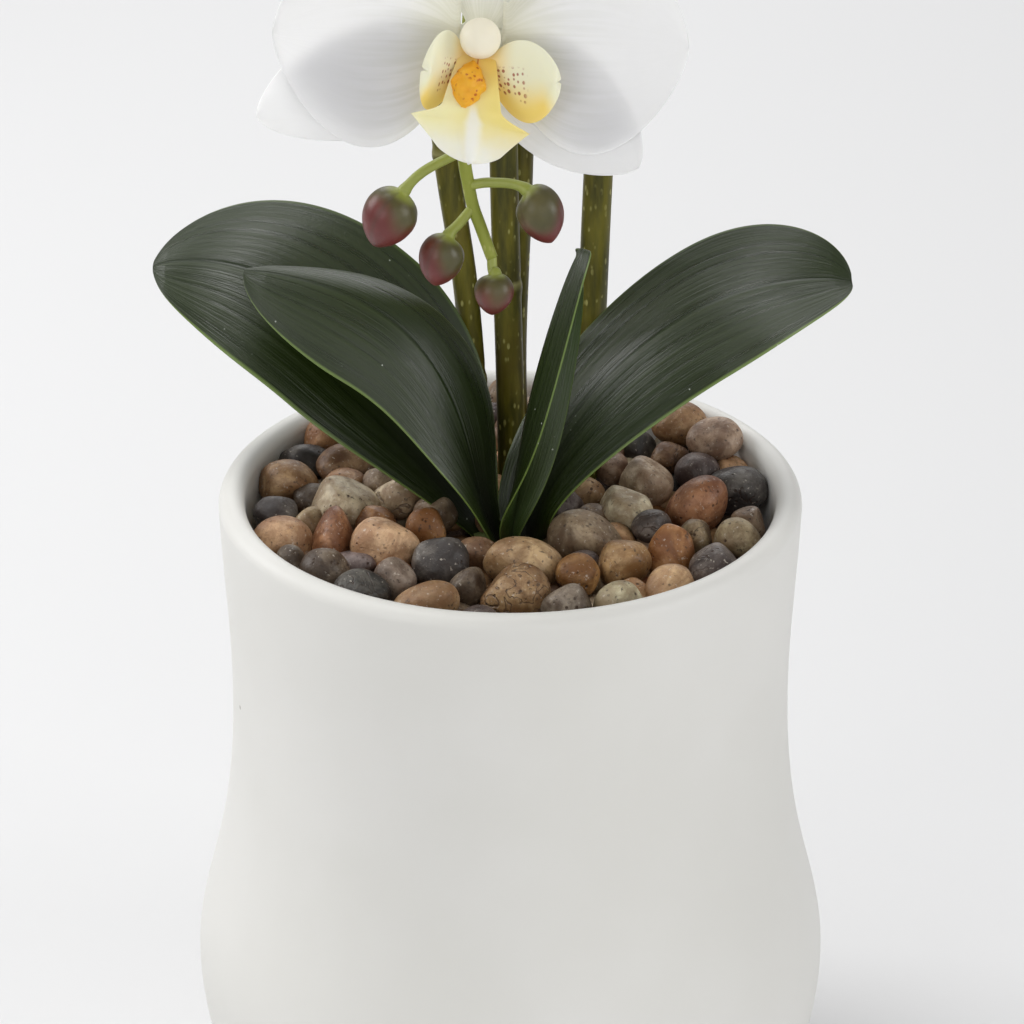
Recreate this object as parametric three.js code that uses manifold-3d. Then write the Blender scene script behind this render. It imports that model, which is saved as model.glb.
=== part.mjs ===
// A potted moth orchid: a waisted ceramic pot, growing medium under a layer of river pebbles,
// four strap leaves on a short crown, and four flower spikes with seven flowers and four buds.
// Millimetres, +Z up. The origin is the centre of the pot's flat base, and the plant faces -Y.

import * as THREE from "three";
import { mergeVertices } from "three/addons/utils/BufferGeometryUtils.js";
import Module from "manifold-3d";

const wasm = await Module();
wasm.setup();

// ---------------------------------------------------------------- driving dimensions

const potHeight = 185;
const rimRadius = 70;
const waistRadius = 68.3;
const waistDepth = 48; // below the rim
const bulgeRadius = 79.3;
const bulgeHeight = 57; // above the base
const footRadius = 67;
const footRound = 4;
const potWall = 6.3;
const floorThickness = 9;

const mediumDepth = 19; // the medium's flat top, below the rim
const pebbleDepth = 11; // the middle of the top stones, below the rim

const crownRadius = 9;
const crownHeight = 6; // above the medium
const rootDepth = 24; // how deep the crown and the spikes stand in the medium

const leafThickness = 1.6;
const marginThickness = 0.7;

const columnRadius = 3.6;
const columnFootRadius = 2.9;
const columnLength = 9;
const petalLength = 39;
const petalHalfWidth = 23;
const petalRise = 3; // degrees above level
const lateralTurn = 119; // degrees from the upper sepal to each side one
const sepalLength = 44;
const sepalHalfWidth = 12.5;
const tepalThickness = 1;
const lipLength = 22;
const lipHalfWidth = 10.5;
const pedicelRadius = 1.4;

const clearance = 0.3; // between any two pieces that touch

// ---------------------------------------------------------------- vectors and solids

const roundSegments = 32;

const vec = (x, y, z) => new THREE.Vector3(x, y, z);
const up = vec(0, 0, 1);
const radians = THREE.MathUtils.degToRad;

// A closed solid from rings of points, each with an even count. Neighbouring rings are joined
// by sides, and the two end rings are closed by strips between their facing halves.
function loft(rings) {
  const count = rings[0].length;
  const index = [];
  for (let r = 0; r + 1 < rings.length; r += 1) {
    for (let i = 0; i < count; i += 1) {
      const a = r * count + i;
      const b = r * count + ((i + 1) % count);
      index.push(a, b, b + count, a, b + count, a + count);
    }
  }
  const last = (rings.length - 1) * count;
  for (let i = 0; i + 1 < count / 2; i += 1) {
    const j = count - 1 - i;
    index.push(i, j, j - 1, i, j - 1, i + 1);
    index.push(last + i, last + j - 1, last + j, last + i, last + i + 1, last + j - 1);
  }
  const geometry = new THREE.BufferGeometry().setFromPoints(rings.flat());
  geometry.setIndex(index);
  return geometry;
}

// A round solid along a curve, its radius given as a function of the share of the way along.
function roundLoft(curve, steps, sides, radiusAt) {
  const frames = curve.computeFrenetFrames(steps, false);
  const rings = [];
  for (let k = 0; k <= steps; k += 1) {
    const centre = curve.getPointAt(k / steps);
    const ring = [];
    for (let i = 0; i < sides; i += 1) {
      const angle = (2 * Math.PI * (i + 0.5)) / sides;
      const arm = frames.normals[k].clone().multiplyScalar(Math.cos(angle));
      arm.addScaledVector(frames.binormals[k], Math.sin(angle));
      ring.push(centre.clone().addScaledVector(arm, radiusAt(k / steps)));
    }
    rings.push(ring);
  }
  return loft(rings);
}

// A thin closed solid on both sides of a surface. The surface takes s from base to tip and u
// from -1 to 1 across, and so does the thickness.
function sheet(surface, thicknessAt, lengthSteps, widthSteps) {
  const rings = [];
  for (let k = 0; k <= lengthSteps; k += 1) {
    const s = k / lengthSteps;
    const top = [];
    const bottom = [];
    for (let i = 0; i <= widthSteps; i += 1) {
      const u = (2 * i) / widthSteps - 1;
      const half = thicknessAt(s, u) / 2;
      const normal = surfaceNormal(surface, s, u);
      const point = surface(s, u);
      top.push(point.clone().addScaledVector(normal, half));
      bottom.unshift(point.addScaledVector(normal, -half));
    }
    rings.push([...bottom, ...top]);
  }
  return loft(rings);
}

function surfaceNormal(surface, s, u) {
  const step = 0.01;
  const near = 0.97; // the tip's narrowest rows have no reliable normal of their own
  const at = THREE.MathUtils.clamp(s, 1 - near, near);
  const side = THREE.MathUtils.clamp(u, -near, near);
  const along = surface(at + step, side).sub(surface(at - step, side));
  const across = surface(at, side + step).sub(surface(at, side - step));
  return along.cross(across).normalize().negate();
}

// A solid of revolution about the Z axis, from a profile that starts and ends on the axis.
function lathe(profile) {
  return new THREE.LatheGeometry(profile, roundSegments).rotateX(Math.PI / 2);
}

function toSolid(geometry) {
  const bare = geometry.clone();
  bare.deleteAttribute("normal");
  bare.deleteAttribute("uv");
  const merged = mergeVertices(bare, 1e-4);
  const mesh = new wasm.Mesh({
    numProp: 3,
    vertProperties: new Float32Array(merged.attributes.position.array),
    triVerts: new Uint32Array(merged.index.array),
  });
  return new wasm.Manifold(mesh);
}

function toGeometry(solid) {
  const mesh = solid.getMesh();
  const geometry = new THREE.BufferGeometry();
  geometry.setAttribute("position", new THREE.BufferAttribute(mesh.vertProperties, 3));
  geometry.setIndex(new THREE.BufferAttribute(mesh.triVerts, 1));
  return geometry;
}

// ---------------------------------------------------------------- materials

const colours = {
  ceramic: [0xdedddb, 0.55],
  soil: [0x4a3526, 0.95],
  pebble: [0xa08468, 0.6],
  leaf: [0x2c3b22, 0.45],
  crown: [0x5b6b33, 0.6],
  stem: [0x6b6f34, 0.55],
  bud: [0x6e6440, 0.4],
  petal: [0xeeeeec, 0.6],
  lip: [0xe6cf6a, 0.5],
  column: [0xf4efdf, 0.5],
};

const orchid = new THREE.Group();

function addNode(name, geometry, finish, parent = orchid) {
  const [color, roughness] = colours[finish];
  const material = new THREE.MeshStandardMaterial({ color, roughness, metalness: 0 });
  const mesh = new THREE.Mesh(geometry, material);
  mesh.name = name;
  parent.add(mesh);
  return mesh;
}

// ---------------------------------------------------------------- the pot

// Points of the pot's outer side from just under the rim to just above the foot.
function potSide(inset) {
  const at = (radius, z) => new THREE.Vector2(radius - inset, z);
  const lip = potHeight - potWall / 2;
  const waist = potHeight - waistDepth;
  const span = waist - bulgeHeight;
  const neck = new THREE.CubicBezierCurve(
    at(rimRadius, lip), at(rimRadius - 0.3, lip - 15),
    at(waistRadius, waist + 15), at(waistRadius, waist),
  );
  const shoulder = new THREE.CubicBezierCurve(
    at(waistRadius, waist), at(waistRadius, waist - span * 0.62),
    at(bulgeRadius, bulgeHeight + span * 0.25), at(bulgeRadius, bulgeHeight),
  );
  const belly = new THREE.CubicBezierCurve(
    at(bulgeRadius, bulgeHeight), at(bulgeRadius, bulgeHeight * 0.62),
    at(footRadius + 3.5, bulgeHeight * 0.3), at(footRadius, footRound),
  );
  return [...neck.getPoints(2), ...shoulder.getPoints(6).slice(1), ...belly.getPoints(4).slice(1)];
}

// The inner side, from the rim down to the floor, with a further inset for what fills the pot.
function potInside(extra) {
  const side = potSide(potWall + extra);
  return side.filter((point) => point.y > floorThickness + potWall);
}

function potGeometry() {
  const outer = potSide(0).reverse();
  const lipCentre = rimRadius - potWall / 2;
  const lip = [1, 2, 3].map((step) => {
    const angle = (Math.PI * step) / 4;
    const radius = lipCentre + (potWall / 2) * Math.cos(angle);
    return new THREE.Vector2(radius, potHeight - (potWall / 2) * (1 - Math.sin(angle)));
  });
  const inner = potInside(0);
  const profile = [
    new THREE.Vector2(0, 0),
    new THREE.Vector2(footRadius - footRound, 0),
    new THREE.Vector2(footRadius - footRound * 0.3, footRound * 0.3),
    ...outer,
    ...lip,
    ...inner,
    new THREE.Vector2(footRadius - potWall - footRound, floorThickness),
    new THREE.Vector2(0, floorThickness),
  ];
  return lathe(profile);
}

addNode("pot", potGeometry(), "ceramic");

// ---------------------------------------------------------------- what fills the pot

const mediumTop = potHeight - mediumDepth;
const crownTop = mediumTop + crownHeight;
const pebbleLevel = potHeight - pebbleDepth;

// Everything that fits inside the pot with the clearance, from the floor to the rim.
function fillSolid() {
  const side = potInside(clearance).reverse();
  const profile = [
    new THREE.Vector2(0, floorThickness + clearance),
    new THREE.Vector2(footRadius - potWall - footRound - clearance, floorThickness + clearance),
    ...side,
    new THREE.Vector2(0, side[side.length - 1].y),
  ];
  return toSolid(lathe(profile));
}

// ---------------------------------------------------------------- leaves

// Each leaf's midrib is a cubic curve given from the top of the crown. A roll turns its width
// about the midrib and a fold lifts both halves into a V, each at the base, middle and tip.
const leaves = {
  leaf_left_rear: {
    midrib: [[-5, 2, -3], [-20, 7, 27], [-45, 12, 74], [-86, 23, 60]],
    roll: [54, 43, 36],
    fold: [32, 11, -3],
    halfWidth: 24.6,
    baseShare: 0.13,
    widestAt: 0.53,
    curl: 0.14,
  },
  leaf_left_front: {
    midrib: [[-2, -5, -3], [-15, -11, 18], [-1, -9, 65], [-61, -4, 69]],
    roll: [51, 44, 33],
    fold: [33, 6, -4],
    halfWidth: 17.3,
    baseShare: 0.12,
    widestAt: 0.75,
    curl: 0.48,
  },
  leaf_centre: {
    midrib: [[2, -5, -3], [-5, -12, 22], [14, -12, 80], [17, -9, 84]],
    roll: [8, 17, 10],
    fold: [-58, -49, 0],
    halfWidth: 9,
    baseShare: 0.36,
    widestAt: 0.43,
    curl: -0.03,
  },
  leaf_right: {
    midrib: [[6, -3, -3], [0, 1, 14], [30, -4, 71], [80, 1, 64]],
    roll: [-37, -29, -24],
    fold: [39, -10, 15],
    halfWidth: 19.9,
    baseShare: 0.14,
    widestAt: 0.73,
    curl: -0.05,
  },
};

// A value that goes through three given ones at the base, the middle and the tip.
function through([first, middle, last], s) {
  return first * (1 - s) * (1 - 2 * s) + middle * 4 * s * (1 - s) + last * s * (2 * s - 1);
}

// The half width rises on a sine to its widest place and falls on a rounded tip.
function leafOutline({ baseShare, widestAt }, s) {
  if (s < widestAt) {
    const rise = Math.sin((Math.PI / 2) * (s / widestAt)) ** 1.25;
    return baseShare + (1 - baseShare) * rise;
  }
  const fall = Math.min((s - widestAt) / (1 - widestAt), 0.995);
  return (1 - fall ** 2.3) ** (1 / 1.9);
}

function leafSurface(leaf, extra) {
  const points = leaf.midrib.map(([x, y, z]) => vec(x, y, crownTop + z));
  const midrib = new THREE.CubicBezierCurve3(...points);
  return (s, u) => {
    const along = midrib.getTangent(s);
    const side = along.clone().cross(up).normalize();
    const above = side.clone().cross(along);
    const roll = radians(through(leaf.roll, s));
    const fold = radians(through(leaf.fold, s));
    const width = side.clone().multiplyScalar(Math.cos(roll)).addScaledVector(above, Math.sin(roll));
    const normal = above.multiplyScalar(Math.cos(roll)).addScaledVector(side, -Math.sin(roll));
    const half = leaf.halfWidth * leafOutline(leaf, s) + extra / 2;
    const lift = half * Math.sin(fold) * Math.abs(u) - leaf.curl * half * u * u * s;
    const point = midrib.getPoint(s).addScaledVector(width, half * Math.cos(fold) * u);
    return point.addScaledVector(normal, lift);
  };
}

function leafSolid(leaf, extra) {
  const thickness = (s, u) => marginThickness + (leafThickness - marginThickness) * (1 - u * u) + extra;
  const solid = toSolid(sheet(leafSurface(leaf, extra), thickness, 14, 6));
  return solid.trimByPlane([0, 0, 1], crownTop + clearance - extra);
}

for (const [name, leaf] of Object.entries(leaves)) {
  addNode(name, toGeometry(leafSolid(leaf, 0)), "leaf");
}

// ---------------------------------------------------------------- flower spikes

// Each spike is a curve through chosen points, with x, y and the height above the crown's top.
// It stands in the medium, and its radius falls from the foot to the tip. Flowers and buds
// grow from it at these points, which they name by their place in the list.
const spikes = {
  spike_left: {
    points: [
      [-7, 16, -6], [-10.5, 21, 53], [-15.5, 21, 92], [-19, 20, 150], [-20, 13, 200], [-17, -6, 236],
      [-12, -26, 238], [-9, -38, 212], [-8, -45, 158], [-10, -46, 115], [-9, -46, 107],
      [-8, -46, 102], [-6.5, -47, 98], [-4, -48, 91],
    ],
    footRadius: 3,
    tipRadius: 1.1,
  },
  spike_centre: {
    points: [
      [0.5, 19.5, -6], [0, 19.5, 27], [-1.5, 20, 86], [-2, 21, 160], [1, 21, 230], [8, 16, 286],
      [22, 2, 318], [42, -12, 319],
    ],
    footRadius: 3.4,
    tipRadius: 1.8,
  },
  spike_rear: {
    points: [
      [3, 28, -6], [1, 28, 29], [2.5, 29, 84], [4, 32, 170], [-4, 37, 240], [-24, 40, 280], [-52, 36, 292],
    ],
    footRadius: 3,
    tipRadius: 1.8,
  },
  spike_right: {
    points: [
      [18, 22, -6], [19.5, 22, 40], [20.8, 23, 82], [24, 25, 160], [33, 28, 215], [54, 27, 244], [72, 20, 244],
    ],
    footRadius: 3.5,
    tipRadius: 1.8,
  },
};

const spikeSides = 8;

for (const spike of Object.values(spikes)) {
  const points = spike.points.map(([x, y, z]) => vec(x, y, crownTop + z));
  points[0].z = mediumTop;
  points.unshift(vec(points[0].x, points[0].y, mediumTop - rootDepth));
  spike.curve = new THREE.CatmullRomCurve3(points, false, "centripetal");
  const length = spike.curve.getLength();
  spike.steps = Math.round(length / 17);
  const fine = 20;
  const lengths = spike.curve.getLengths(fine * (points.length - 1));
  spike.shareOf = (k) => lengths[fine * (k + 1)] / lengths[lengths.length - 1];
  const full = (rootDepth + 120) / length;
  spike.radiusAt = (t) => {
    const share = THREE.MathUtils.clamp((t - full) / (1 - full), 0, 1);
    return THREE.MathUtils.lerp(spike.footRadius, spike.tipRadius, share);
  };
}

function spikeGeometry(spike, extra) {
  return roundLoft(spike.curve, spike.steps, spikeSides, (t) => spike.radiusAt(t) + extra);
}

for (const [name, spike] of Object.entries(spikes)) {
  addNode(name, spikeGeometry(spike, 0), "stem");
}

// ---------------------------------------------------------------- crown, medium and pebbles

const socketExtra = clearance * 1.3; // the facets of a round socket come a little nearer its stem

function crownSolid(extra) {
  const height = crownHeight + rootDepth + 2 * extra;
  const crown = new THREE.CylinderGeometry(crownRadius + extra, crownRadius * 0.7 + extra, height, 16);
  crown.rotateX(Math.PI / 2);
  crown.translate(0, 0, crownTop + extra - height / 2);
  return toSolid(crown);
}

addNode("crown", toGeometry(crownSolid(0)), "crown");

function plantRoom() {
  const stems = Object.values(spikes).map((spike) => toSolid(spikeGeometry(spike, socketExtra)));
  return wasm.Manifold.union([crownSolid(socketExtra), ...stems]);
}

// The sockets run a clearance deeper than the stems that stand in them.
const sockets = wasm.Manifold.union([plantRoom(), plantRoom().translate([0, 0, -clearance])]);
const medium = fillSolid().trimByPlane([0, 0, -1], -mediumTop).subtract(sockets);
addNode("growing_medium", toGeometry(medium), "soil");

// The stones that show, each as x, y, length, width and height.
const stones = [
  [43, 57, 12, 12, 9], [-49, 48, 9, 9, 8], [52, 45, 13, 10, 8], [31, 42, 10, 9, 8],
  [-51, 36, 13, 10, 8], [39, 36, 10, 9, 8], [54, 33, 8, 9, 7], [-40, 30, 14, 13, 10],
  [25, 31, 8, 9, 8], [46, 28, 10, 10, 9], [-55, 23, 14, 12, 9], [-31, 22, 9, 9, 8],
  [33, 23, 12, 12, 11], [57, 19, 14, 13, 10], [-27, 14, 11, 11, 10], [-40, 11, 16, 14, 11],
  [13, 10, 9, 9, 9], [45, 9, 17, 13, 10], [-18, 7, 10, 9, 8], [28, 7, 13, 12, 11],
  [-56, 5, 11, 11, 8], [-20, -1, 9, 8, 8], [-48, 0, 7, 8, 7], [57, 1, 8, 9, 7],
  [34, -2, 9, 8, 7], [44, -6, 8, 8, 7], [-42, -7, 9, 11, 12], [18, -7, 16, 13, 10],
  [54, -8, 10, 10, 9], [-54, -9, 13, 13, 10], [-29, -12, 15, 14, 12], [-7, -13, 11, 9, 7],
  [38, -14, 10, 10, 12], [-52, -22, 7, 9, 8], [-16, -21, 12, 11, 12], [3, -21, 17, 12, 10],
  [27, -21, 11, 12, 12], [48, -23, 12, 12, 9], [-43, -25, 11, 11, 10], [16, -26, 10, 9, 8],
  [-27, -29, 9, 9, 9], [-10, -31, 8, 9, 8], [37, -32, 11, 11, 8], [-34, -35, 12, 12, 9],
  [1, -36, 15, 13, 11], [13, -41, 11, 10, 8], [-19, -40, 14, 10, 8], [25, -40, 11, 9, 8],
];

// Stones that fill what is left of the circle, on a sunflower spiral that skips taken places.
function spiralStones() {
  const size = 13;
  const reach = rimRadius - potWall - size / 2;
  const count = Math.round((4 * reach * reach) / (size * size));
  const turn = Math.PI * (3 - Math.sqrt(5));
  const placed = stones.map(([x, y]) => [x, y]);
  const added = [];
  for (let k = 0; k < count; k += 1) {
    const radius = reach * Math.sqrt((k + 0.5) / count);
    const x = radius * Math.cos(k * turn);
    const y = radius * Math.sin(k * turn);
    const free = placed.every(([px, py]) => Math.hypot(px - x, py - y) > size * 0.86);
    if (free) {
      placed.push([x, y]);
      added.push([x, y, size, size * 0.9, size * 0.75]);
    }
  }
  return added;
}

function stoneSolid([x, y, length, width, height], k) {
  const stone = new THREE.SphereGeometry(0.5, 6, 4);
  stone.rotateX(0.3 * Math.sin(5 * k));
  stone.scale(length, width, height);
  stone.rotateZ(0.9 * k);
  stone.translate(x, y, pebbleLevel);
  return toSolid(stone);
}

// The stones under the top ones are one bed, up to the middle of the top ones.
function pebbleSolid() {
  const bottom = mediumTop + clearance;
  const bed = fillSolid().trimByPlane([0, 0, 1], bottom).trimByPlane([0, 0, -1], -pebbleLevel);
  const top = wasm.Manifold.union([...stones, ...spiralStones()].map(stoneSolid));
  const inPot = top.trimByPlane([0, 0, 1], bottom).intersect(fillSolid());
  const leafRoom = Object.values(leaves).map((leaf) => leafSolid(leaf, 2 * clearance));
  return bed.add(inPot).subtract(wasm.Manifold.union([plantRoom(), ...leafRoom]));
}

addNode("pebble_layer", toGeometry(pebbleSolid()), "pebble");

// ---------------------------------------------------------------- buds

// Each bud's points are the stalk's bend and the bud's two ends, with heights above the
// crown's top.
const buds = {
  bud_left: { from: 9, bend: [-19, -49, 111], neck: [-23, -50, 107], tip: [-29.5, -50, 94.5], radius: 5.9 },
  bud_right: { from: 10, bend: [-4.3, -47, 108], neck: [3.5, -50, 107.5], tip: [9, -50.5, 95.5], radius: 5.1 },
  bud_lower_left: { from: 11, bend: [-11, -48, 99], neck: [-13.3, -50, 97], tip: [-16.5, -50.5, 85.5], radius: 4.9 },
  bud_lowest: { from: 13, bend: [-3.8, -49, 88.5], neck: [-3.4, -49.6, 88], tip: [-4, -50.5, 78.5], radius: 4.3 },
};

const budStalkRadius = 1;

// Where a stalk starts: on the spike's axis, or just past its end.
function stalkStart(spike, from) {
  const start = spike.curve.getPointAt(spike.shareOf(from));
  return from + 1 === spike.points.length ? start.addScaledVector(spike.curve.getTangent(1), clearance) : start;
}

// A stalk cut to sit on the spike's side, with the clearance.
function seatedStalk(spike, geometry) {
  return toGeometry(toSolid(geometry).subtract(toSolid(spikeGeometry(spike, socketExtra))));
}

for (const [name, bud] of Object.entries(buds)) {
  const [bend, neck, tip] = [bud.bend, bud.neck, bud.tip].map(([x, y, z]) => vec(x, y, crownTop + z));
  const start = stalkStart(spikes.spike_left, bud.from);
  const curve = new THREE.CatmullRomCurve3([start, bend, neck, tip], false, "centripetal");
    const lengths = curve.getLengths(200);
  const neckShare = lengths[Math.round(200 * (2 / 3))] / curve.getLength();
  const radiusAt = (t) => {
    if (t <= neckShare) {
      return budStalkRadius;
    }
    const v = (t - neckShare) / (1 - neckShare);
    const swell = Math.sin(Math.PI * v ** 0.85) ** 0.75;
    return Math.max(bud.radius * swell, budStalkRadius * (1 - v) + 0.25);
  };
  addNode(name, seatedStalk(spikes.spike_left, roundLoft(curve, 12, 8, radiusAt)), "bud");
}

// ---------------------------------------------------------------- flowers

// Flowers in their own frame: +Z is the way they face and +Y their top. Sepals and petals lie on
// one shallow bowl, the sepals a layer behind the petals.
const bowl = (x, y) => 0.0022 * (x * x + y * y);
const hubRadius = columnRadius + 0.8;

// A tepal's half width: a narrow claw that swells quickly to a broad, round end.
function tepalOutline(s) {
  return Math.max(0.16 * (1 - s) ** 3, Math.sin(Math.PI * Math.min(s, 0.995) ** 0.92) ** 0.62);
}

function tepalSurface({ angle, start, length, halfWidth, layer }) {
  const along = new THREE.Vector2(Math.cos(angle), Math.sin(angle));
  return (s, u) => {
    const half = halfWidth * tepalOutline(s);
    const reach = start + length * s;
    const x = along.x * reach - along.y * half * u;
    const y = along.y * reach + along.x * half * u;
    return vec(x, y, bowl(x, y) + layer);
  };
}

function tepal(shape, lengthSteps, widthSteps) {
  return sheet(tepalSurface(shape), () => tepalThickness, lengthSteps, widthSteps);
}

const sepalLayer = -tepalThickness - clearance - 0.3; // the bowl's slope brings the layers nearer

function sepalsGeometry() {
  const hub = new THREE.CylinderGeometry(hubRadius, hubRadius * 0.6, tepalThickness, 10);
  hub.rotateX(Math.PI / 2);
  hub.translate(0, 0, sepalLayer);
  const lobes = [90, 90 + lateralTurn, 90 - lateralTurn].map((degrees) => toSolid(tepal({
    angle: radians(degrees),
    start: hubRadius * 0.6,
    length: sepalLength,
    halfWidth: sepalHalfWidth,
    layer: sepalLayer,
  }, 5, 2)));
  return toGeometry(wasm.Manifold.union([toSolid(hub), ...lobes]));
}

function petalGeometry(side) {
  return tepal({
    angle: side > 0 ? radians(petalRise) : Math.PI - radians(petalRise),
    start: columnRadius + clearance + 0.5,
    length: petalLength,
    halfWidth: petalHalfWidth,
    layer: 0,
  }, 5, 4);
}

function columnGeometry() {
  const foot = vec(0, 0, sepalLayer + tepalThickness / 2 + clearance);
  const tip = vec(0, 0.6, columnLength);
  const curve = new THREE.LineCurve3(foot, tip);
  const radiusAt = (t) => {
    const dome = Math.sqrt(1 - Math.max(0, (t - 0.7) / 0.31) ** 2);
    return THREE.MathUtils.lerp(columnFootRadius, columnRadius, THREE.MathUtils.smoothstep(t, 0.2, 0.6)) * dome;
  };
  return roundLoft(curve, 6, 8, radiusAt);
}

// One lobe of the lip: a sheet about a curve, its width lying along a given way.
function lipLobe(points, wayAcross, halfWidth, widestAt) {
  const curve = new THREE.QuadraticBezierCurve3(...points);
  const surface = (s, u) => {
    const half = halfWidth * leafOutline({ baseShare: 0.3, widestAt }, s);
    return curve.getPoint(s).addScaledVector(wayAcross, half * u);
  };
  return toSolid(sheet(surface, () => tepalThickness, 4, 2));
}

function lipGeometry() {
  const top = -(columnFootRadius + clearance + tepalThickness / 2 + 0.1);
  const foot = vec(0, top, 2.4);
  const middle = lipLobe(
    [foot, vec(0, top - 5, 11), vec(0, top - lipLength, 6)], vec(1, 0, 0), lipHalfWidth, 0.62,
  );
  const lobes = [-1, 1].map((side) => lipLobe(
    [vec(side * 1.6, top - 2.2, 2.8), vec(side * 8, top - 4.6, 3.8), vec(side * 12.5, top - 2.5, 10)],
    vec(-side * 0.05, 0.99, 0.1).normalize(), 8.2, 0.6,
  ));
  return toGeometry(wasm.Manifold.union([middle, ...lobes]));
}

// Each flower's place is given from the crown's top. It faces the given way, turned about it
// by the given degrees.
const flowers = [
  { spike: "spike_left", from: 8, at: [-6, -57, 144], face: [-0.05, -0.97, 0.2], turn: -9 },
  { spike: "spike_left", from: 7, at: [-36, -54, 216], face: [-0.5, -0.82, 0.25], turn: 6 },
  { spike: "spike_left", from: 5, at: [19, -24, 262], face: [0.4, -0.87, 0.25], turn: -5 },
  { spike: "spike_centre", from: 5, at: [-16, -10, 318], face: [-0.35, -0.9, 0.2], turn: 4 },
  { spike: "spike_centre", from: 7, at: [58, -30, 312], face: [0.5, -0.84, 0.15], turn: -6 },
  { spike: "spike_rear", from: 6, at: [-76, 24, 281], face: [-0.55, -0.8, 0.2], turn: 5 },
  { spike: "spike_right", from: 6, at: [90, 6, 230], face: [0.6, -0.77, 0.15], turn: -4 },
];

function flowerFrame({ at, face, turn }) {
  const ahead = vec(...face).normalize();
  const across = up.clone().cross(ahead).normalize();
  const above = ahead.clone().cross(across);
  const basis = new THREE.Matrix4().makeBasis(across, above, ahead);
  const frame = new THREE.Group();
  frame.quaternion.setFromRotationMatrix(basis);
  frame.rotateZ(radians(turn));
  frame.position.set(at[0], at[1], crownTop + at[2]);
  frame.updateMatrixWorld();
  return frame;
}

function pedicelGeometry(flower, frame) {
  const back = sepalLayer - tepalThickness / 2 - clearance;
  const end = frame.localToWorld(vec(0, 0, back));
  const behind = frame.localToWorld(vec(0, 1, back - 9));
  const spike = spikes[flower.spike];
  const start = stalkStart(spike, flower.from);
  const middle = start.clone().lerp(behind, 0.55).add(vec(0, 0, 1.5));
  const curve = new THREE.CatmullRomCurve3([start, middle, behind, end], false, "centripetal");
  return seatedStalk(spike, roundLoft(curve, 6, 6, (t) => pedicelRadius * (1 + 0.5 * t * t)));
}

flowers.forEach((flower, k) => {
  const name = `flower_${k + 1}`;
  const frame = flowerFrame(flower);
  orchid.add(frame);
  addNode(`${name}_pedicel`, pedicelGeometry(flower, frame), "stem");
  addNode(`${name}_sepals`, sepalsGeometry(), "petal", frame);
  addNode(`${name}_petal_left`, petalGeometry(-1), "petal", frame);
  addNode(`${name}_petal_right`, petalGeometry(1), "petal", frame);
  addNode(`${name}_lip`, lipGeometry(), "lip", frame);
  addNode(`${name}_column`, columnGeometry(), "column", frame);
});

export default orchid;
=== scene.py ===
# %% [markdown]
# # A potted moth orchid
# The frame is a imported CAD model: a waisted pot, its growing medium, a layer of river pebbles,
# four strap leaves, four flower spikes, seven flowers and four buds. Here each of them gets its
# finished surface and its material, in metres and in the frame's own place.

# %% Load the frame
import math

import bpy
import numpy as np
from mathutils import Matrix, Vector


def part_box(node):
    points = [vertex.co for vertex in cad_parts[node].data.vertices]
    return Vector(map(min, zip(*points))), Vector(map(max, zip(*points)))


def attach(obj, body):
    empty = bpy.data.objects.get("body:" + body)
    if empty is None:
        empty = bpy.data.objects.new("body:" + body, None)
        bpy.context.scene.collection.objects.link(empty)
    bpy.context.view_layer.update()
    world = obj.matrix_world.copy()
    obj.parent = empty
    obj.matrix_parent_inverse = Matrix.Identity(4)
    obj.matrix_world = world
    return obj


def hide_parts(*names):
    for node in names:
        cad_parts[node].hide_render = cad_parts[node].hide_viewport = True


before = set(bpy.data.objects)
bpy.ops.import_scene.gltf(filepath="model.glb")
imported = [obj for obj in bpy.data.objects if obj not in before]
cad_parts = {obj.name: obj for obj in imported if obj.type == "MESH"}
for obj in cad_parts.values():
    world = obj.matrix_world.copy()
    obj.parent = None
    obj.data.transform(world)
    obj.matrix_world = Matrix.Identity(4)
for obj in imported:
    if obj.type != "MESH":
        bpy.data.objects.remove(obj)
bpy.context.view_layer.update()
MM = 0.001
print("nodes:", len(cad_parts))

# %% [markdown]
# Every height is counted from two places that the frame gives: the pot's rim and the top of the
# crown, which is the short stem that the leaves and the spikes grow around.

# %% Measure the frame
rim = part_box("pot")[1][2]
crown_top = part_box("crown")[1][2]
medium_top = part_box("growing_medium")[1][2]
print("rim", round(rim, 4), "crown top", round(crown_top, 4), "medium top", round(medium_top, 4))

# %% [markdown]
# ## Camera
# The view looks down on the rim from a little under a metre away, with a long lens. A camera
# that looks at a point is set from that point: back along the view by the distance.

# %% Place the camera
VIEW_DOWN = math.radians(26.25)
VIEW_DISTANCE = 0.835
LENS_MM, SENSOR_MM = 121.7, 36.0
VIEW_POINT = np.array([0.0004, 0.0, rim - 0.0075])


def place_camera():
    """Camera at point + distance * (0, -cos, sin) of the downward angle, looking back at it."""
    lens = bpy.data.cameras.new("camera")
    lens.lens = LENS_MM
    lens.sensor_width = SENSOR_MM
    camera = bpy.data.objects.new("camera", lens)
    back = np.array([0.0, -math.cos(VIEW_DOWN), math.sin(VIEW_DOWN)])
    camera.location = VIEW_POINT + VIEW_DISTANCE * back
    camera.rotation_euler = (math.pi / 2 - VIEW_DOWN, 0.0, 0.0)
    bpy.context.scene.collection.objects.link(camera)
    bpy.context.scene.camera = camera


place_camera()
bpy.context.scene.view_settings.view_transform = "Standard"

# %% [markdown]
# ## Mesh helpers
# Nearly everything here is a row of rings: a stem is rings along a curve, a leaf is rings that
# are wide and thin, and a bud is rings whose size swells and shrinks. One function turns such
# rings into a closed mesh, so each piece only has to say where its rings are.


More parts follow.
